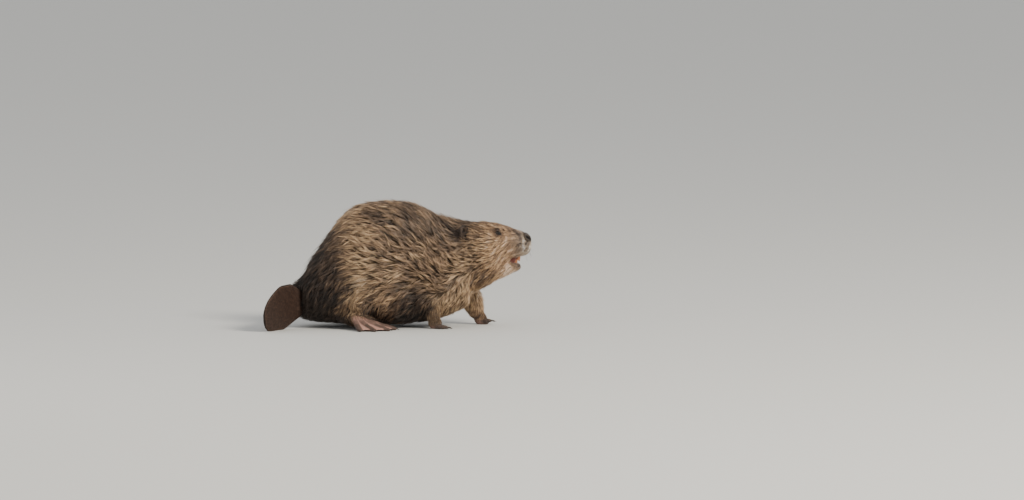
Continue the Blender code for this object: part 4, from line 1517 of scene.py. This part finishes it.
def fur_material():
    """Hair that is dark at its root, partly dark underfur and partly painted shade, and at its tip has the
    coat's tone there, raised by a painted highlight.
    """
    paint = Paint("fur", roughness=0.37)
    along, tone, chance = paint.marks("hair")
    colour = paint.times(paint.ramp(tone, COAT_TONES), paint.ramp(along, UNDERFUR_SHADE_TIP_HIGHLIGHT))
    colour = paint.times(colour, paint.ramp(chance, CHANCE_SHADE))
    x = paint.parted(paint.place())[0]
    return paint.finished(paint.times(colour, paint.ramp(x, HEAD_CAST)))


def skin_material():
    """Thinly haired hide in the coat's own tones, kept dark as underfur and painted shade under the hair,
    and bare skin on nose, lids, mouth and feet.
    """
    paint = Paint("skin", roughness=0.55, specular=0.2)
    tone, bare, hue = paint.marks("hide")
    furred = paint.times(paint.ramp(tone, COAT_TONES), SKIN_UNDERFUR_AND_SHADE)
    colour = paint.mixed(bare, furred, paint.ramp(hue, BARE_TONES))
    colour = paint.times(colour, paint.ramp(paint.noise(scale=420), SKIN_GRAIN), share=0.7)
    pebbles = paint.times(paint.ramp(paint.cracks(scale=520), PEBBLES), paint.ramp(hue, PEBBLED))
    height = paint.mixed(share=0.35, first=pebbles, second=paint.noise(scale=900))
    return paint.finished(colour, height, distance=0.0006)


def tail_material():
    """Dull scales, each of its own tone, dark between them, with a pale line inside the dark rim."""
    paint = Paint("tail", roughness=0.6, specular=0.25)
    tone, groove, inside = paint.marks("scale")
    colour = paint.mixed(groove, paint.ramp(tone, TAIL_TONES), TAIL_GROOVE)
    colour = paint.times(colour, paint.ramp(inside, TAIL_RIM))
    colour = paint.times(colour, paint.ramp(paint.noise(scale=160), TAIL_GRAIN))
    return paint.finished(colour, paint.noise(scale=1300), distance=0.0003)


def eye_material():
    """A black pupil in a very dark brown iris, under a wet surface."""
    paint = Paint("eye", roughness=0.08, specular=0.35)
    colour = paint.ramp(paint.marks("eye")[0], EYE_TONES)
    colour = paint.times(colour, paint.ramp(paint.noise(scale=700), EYE_FIBRES))
    return paint.finished(colour, paint.noise(scale=500), distance=0.00002)


def horn_material(name, tones, scale, roughness):
    """Horn or enamel with a fine grain."""
    paint = Paint(name, roughness)
    colour = paint.ramp(paint.noise(scale, detail=4), tones)
    return paint.finished(colour, paint.noise(scale * 3), distance=0.00012)


def mark_skin(skin, nodes, feet):
    """Keeps the coat's tone, bareness and the bare skin's hue on the skin's points."""
    points = points_of(skin)
    owner = owners(points, nodes)
    lip = lip_share(points, normals_of(skin))
    bare = np.maximum(np.maximum(bare_at(points), lip), is_foot(owner))
    # Painted shade: the nose's hue falls to black in the nostrils' grooves.
    nostril_shade = fade(*NOSTRIL_PAINTED_SHADE, nostril_distance(points))
    hue = np.where(nose_share(points) > ON_NOSE, NOSE_HUE * (1 - nostril_shade), PLAIN_HUE)
    hue = np.where(mouth_share(points) > IN_MOUTH, MOUTH_HUE, hue)
    hue = np.where(lip > ON_LIP, LIP_HUE, hue)
    for foot in feet:
        hue = np.where(np.char.startswith(owner, foot.name), foot_hue(points, foot), hue)
    set_mark(skin, "hide", np.column_stack([coat_at(points)[3], bare, hue]))


def lip_share(points, normals):
    """1 on the lower edge of the upper lip."""
    x, _, z = points.T
    lip = smoothstep(*LIP_X, x) * smoothstep(*LIP_SLOPE, normals[:, 2])
    return lip * ((z > LIP_Z[0]) & (z < LIP_Z[1]))


def foot_hue(points, foot):
    """A foot's skin is dark along the toes and pale between them."""
    away = np.full(len(points), FAR)
    for number in range(TOES):
        path, _ = foot.toe(number, np.linspace(0, 1, TOE_STRETCHES + 1))
        for start, end in zip(path, path[1:]):
            away = np.minimum(away, near_segment(points, start, end))
    return between(*FOOT_HUES[foot.kind], fade(*TOE_DARK, away))


# Camera, light and floor

# A long lens from afar, looking at the animal's right side and a little down.
CAMERA_AIM, CAMERA_ELEVATION = (296, 11, 199), 4
CAMERA_VIEW_WIDTH, CAMERA_SIGHT = 2662, 100  # the second in metres
CAMERA_LENS, CAMERA_SENSOR = 300, 36

FLOOR_HALF, FLOOR_COLOUR, FLOOR_ROUGHNESS = 40000, (0.56, 0.56, 0.545), 0.8
WORLD_COLOUR, WORLD_STRENGTH = (0.86, 0.86, 0.85, 1), 0.95
# Round soft lights: place and width in metres, power in watts and colour.
LIGHTS = {
    "key": ((6.6, -6.9, 6.3), 3.6, 1665, (1, 0.93, 0.81)),
    "fill": ((-2.5, -2.0, 1.2), 2.0, 12, (1, 1, 1)),
}
LIGHTS_AIM = (0, 0, 0.15)  # in metres


def looking(way):
    return way.to_track_quat("-Z", "Y").to_euler()


def add_camera():
    distance = CAMERA_VIEW_WIDTH * MM * CAMERA_LENS / CAMERA_SENSOR
    tilt = radians(CAMERA_ELEVATION)
    back = Vector((0, -cos(tilt), sin(tilt)))
    data = bpy.data.cameras.new("camera")
    data.lens, data.sensor_width, data.clip_end = CAMERA_LENS, CAMERA_SENSOR, CAMERA_SIGHT
    camera = linked("camera", data)
    camera.location = Vector(CAMERA_AIM) * MM + back * distance
    camera.rotation_euler = looking(-back)
    bpy.context.scene.camera = camera


def add_floor():
    corners = [(x * FLOOR_HALF, y * FLOOR_HALF, 0) for x, y in ((-1, -1), (1, -1), (1, 1), (-1, 1))]
    floor = mesh_object("floor", corners, [(0, 1, 2, 3)])
    floor.data.materials.append(Paint("floor", FLOOR_ROUGHNESS).finished(FLOOR_COLOUR))


def add_lights():
    """A pale world and soft lights that the camera doesn't see."""
    world = bpy.data.worlds.new("studio")
    world.use_nodes = True
    background = world.node_tree.nodes["Background"]
    background.inputs["Color"].default_value = WORLD_COLOUR
    background.inputs["Strength"].default_value = WORLD_STRENGTH
    bpy.context.scene.world = world
    for name, (place, width, power, colour) in LIGHTS.items():
        data = bpy.data.lights.new(name, "AREA")
        data.shape, data.size, data.energy, data.color = "DISK", width, power, colour
        light = linked(name, data)
        light.location = place
        light.rotation_euler = looking(Vector(LIGHTS_AIM) - Vector(place))
        light.visible_camera = False


# The whole animal


def dressed(piece, material, slot, *stood_for):
    """Gives a piece its material, hangs it under the root body and hides the solids that it stands for. The
    slot is not used.
    """
    piece.data.materials.append(material)
    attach(piece, "root")
    if stood_for:
        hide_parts(*stood_for)


def add_hide(nodes, feet):
    """The skin and the fur and whiskers that grow on it."""
    skin = skin_whole(nodes, feet)
    skin.data.shade_smooth()
    dressed(skin, skin_material(), "skin", *FLESH_NAMES, *FOOT_NAMES, *EAR_NAMES)
    mark_skin(skin, nodes, feet)
    fur = fur_material()
    surface = Surface(skin, nodes)
    for piece in [*coat_pieces(surface, nodes), whiskers(surface)]:
        dressed(piece, fur, "coat")


def add_details(nodes, feet):
    """Everything that isn't skin or fur."""
    wet = eye_material()
    for side, sign in SIDES:
        dressed(eyeball(side, sign), wet, "eye", f"eye_{side}")
    enamel = horn_material("enamel", ENAMEL, scale=160, roughness=0.25)
    for name, up in (("incisors_upper", True), ("incisors_lower", False)):
        for tooth in incisors(name, nodes, up):
            dressed(tooth, enamel, "tooth", name)
    horn = horn_material("horn", HORN, scale=260, roughness=0.35)
    for foot in feet:
        for number in range(TOES):
            dressed(claw(foot, number), horn, "claw", f"{foot.name}_claw_{number + 1}")
    dressed(tail_blade(nodes), tail_material(), "tail", "tail_blade")


def main():
    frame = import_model()
    nodes = frame["nodes"]
    add_camera()
    add_floor()
    add_lights()
    feet = [Foot(nodes, kind, side) for kind in FEET for side, _ in SIDES]
    add_hide(nodes, feet)
    add_details(nodes, feet)


main()
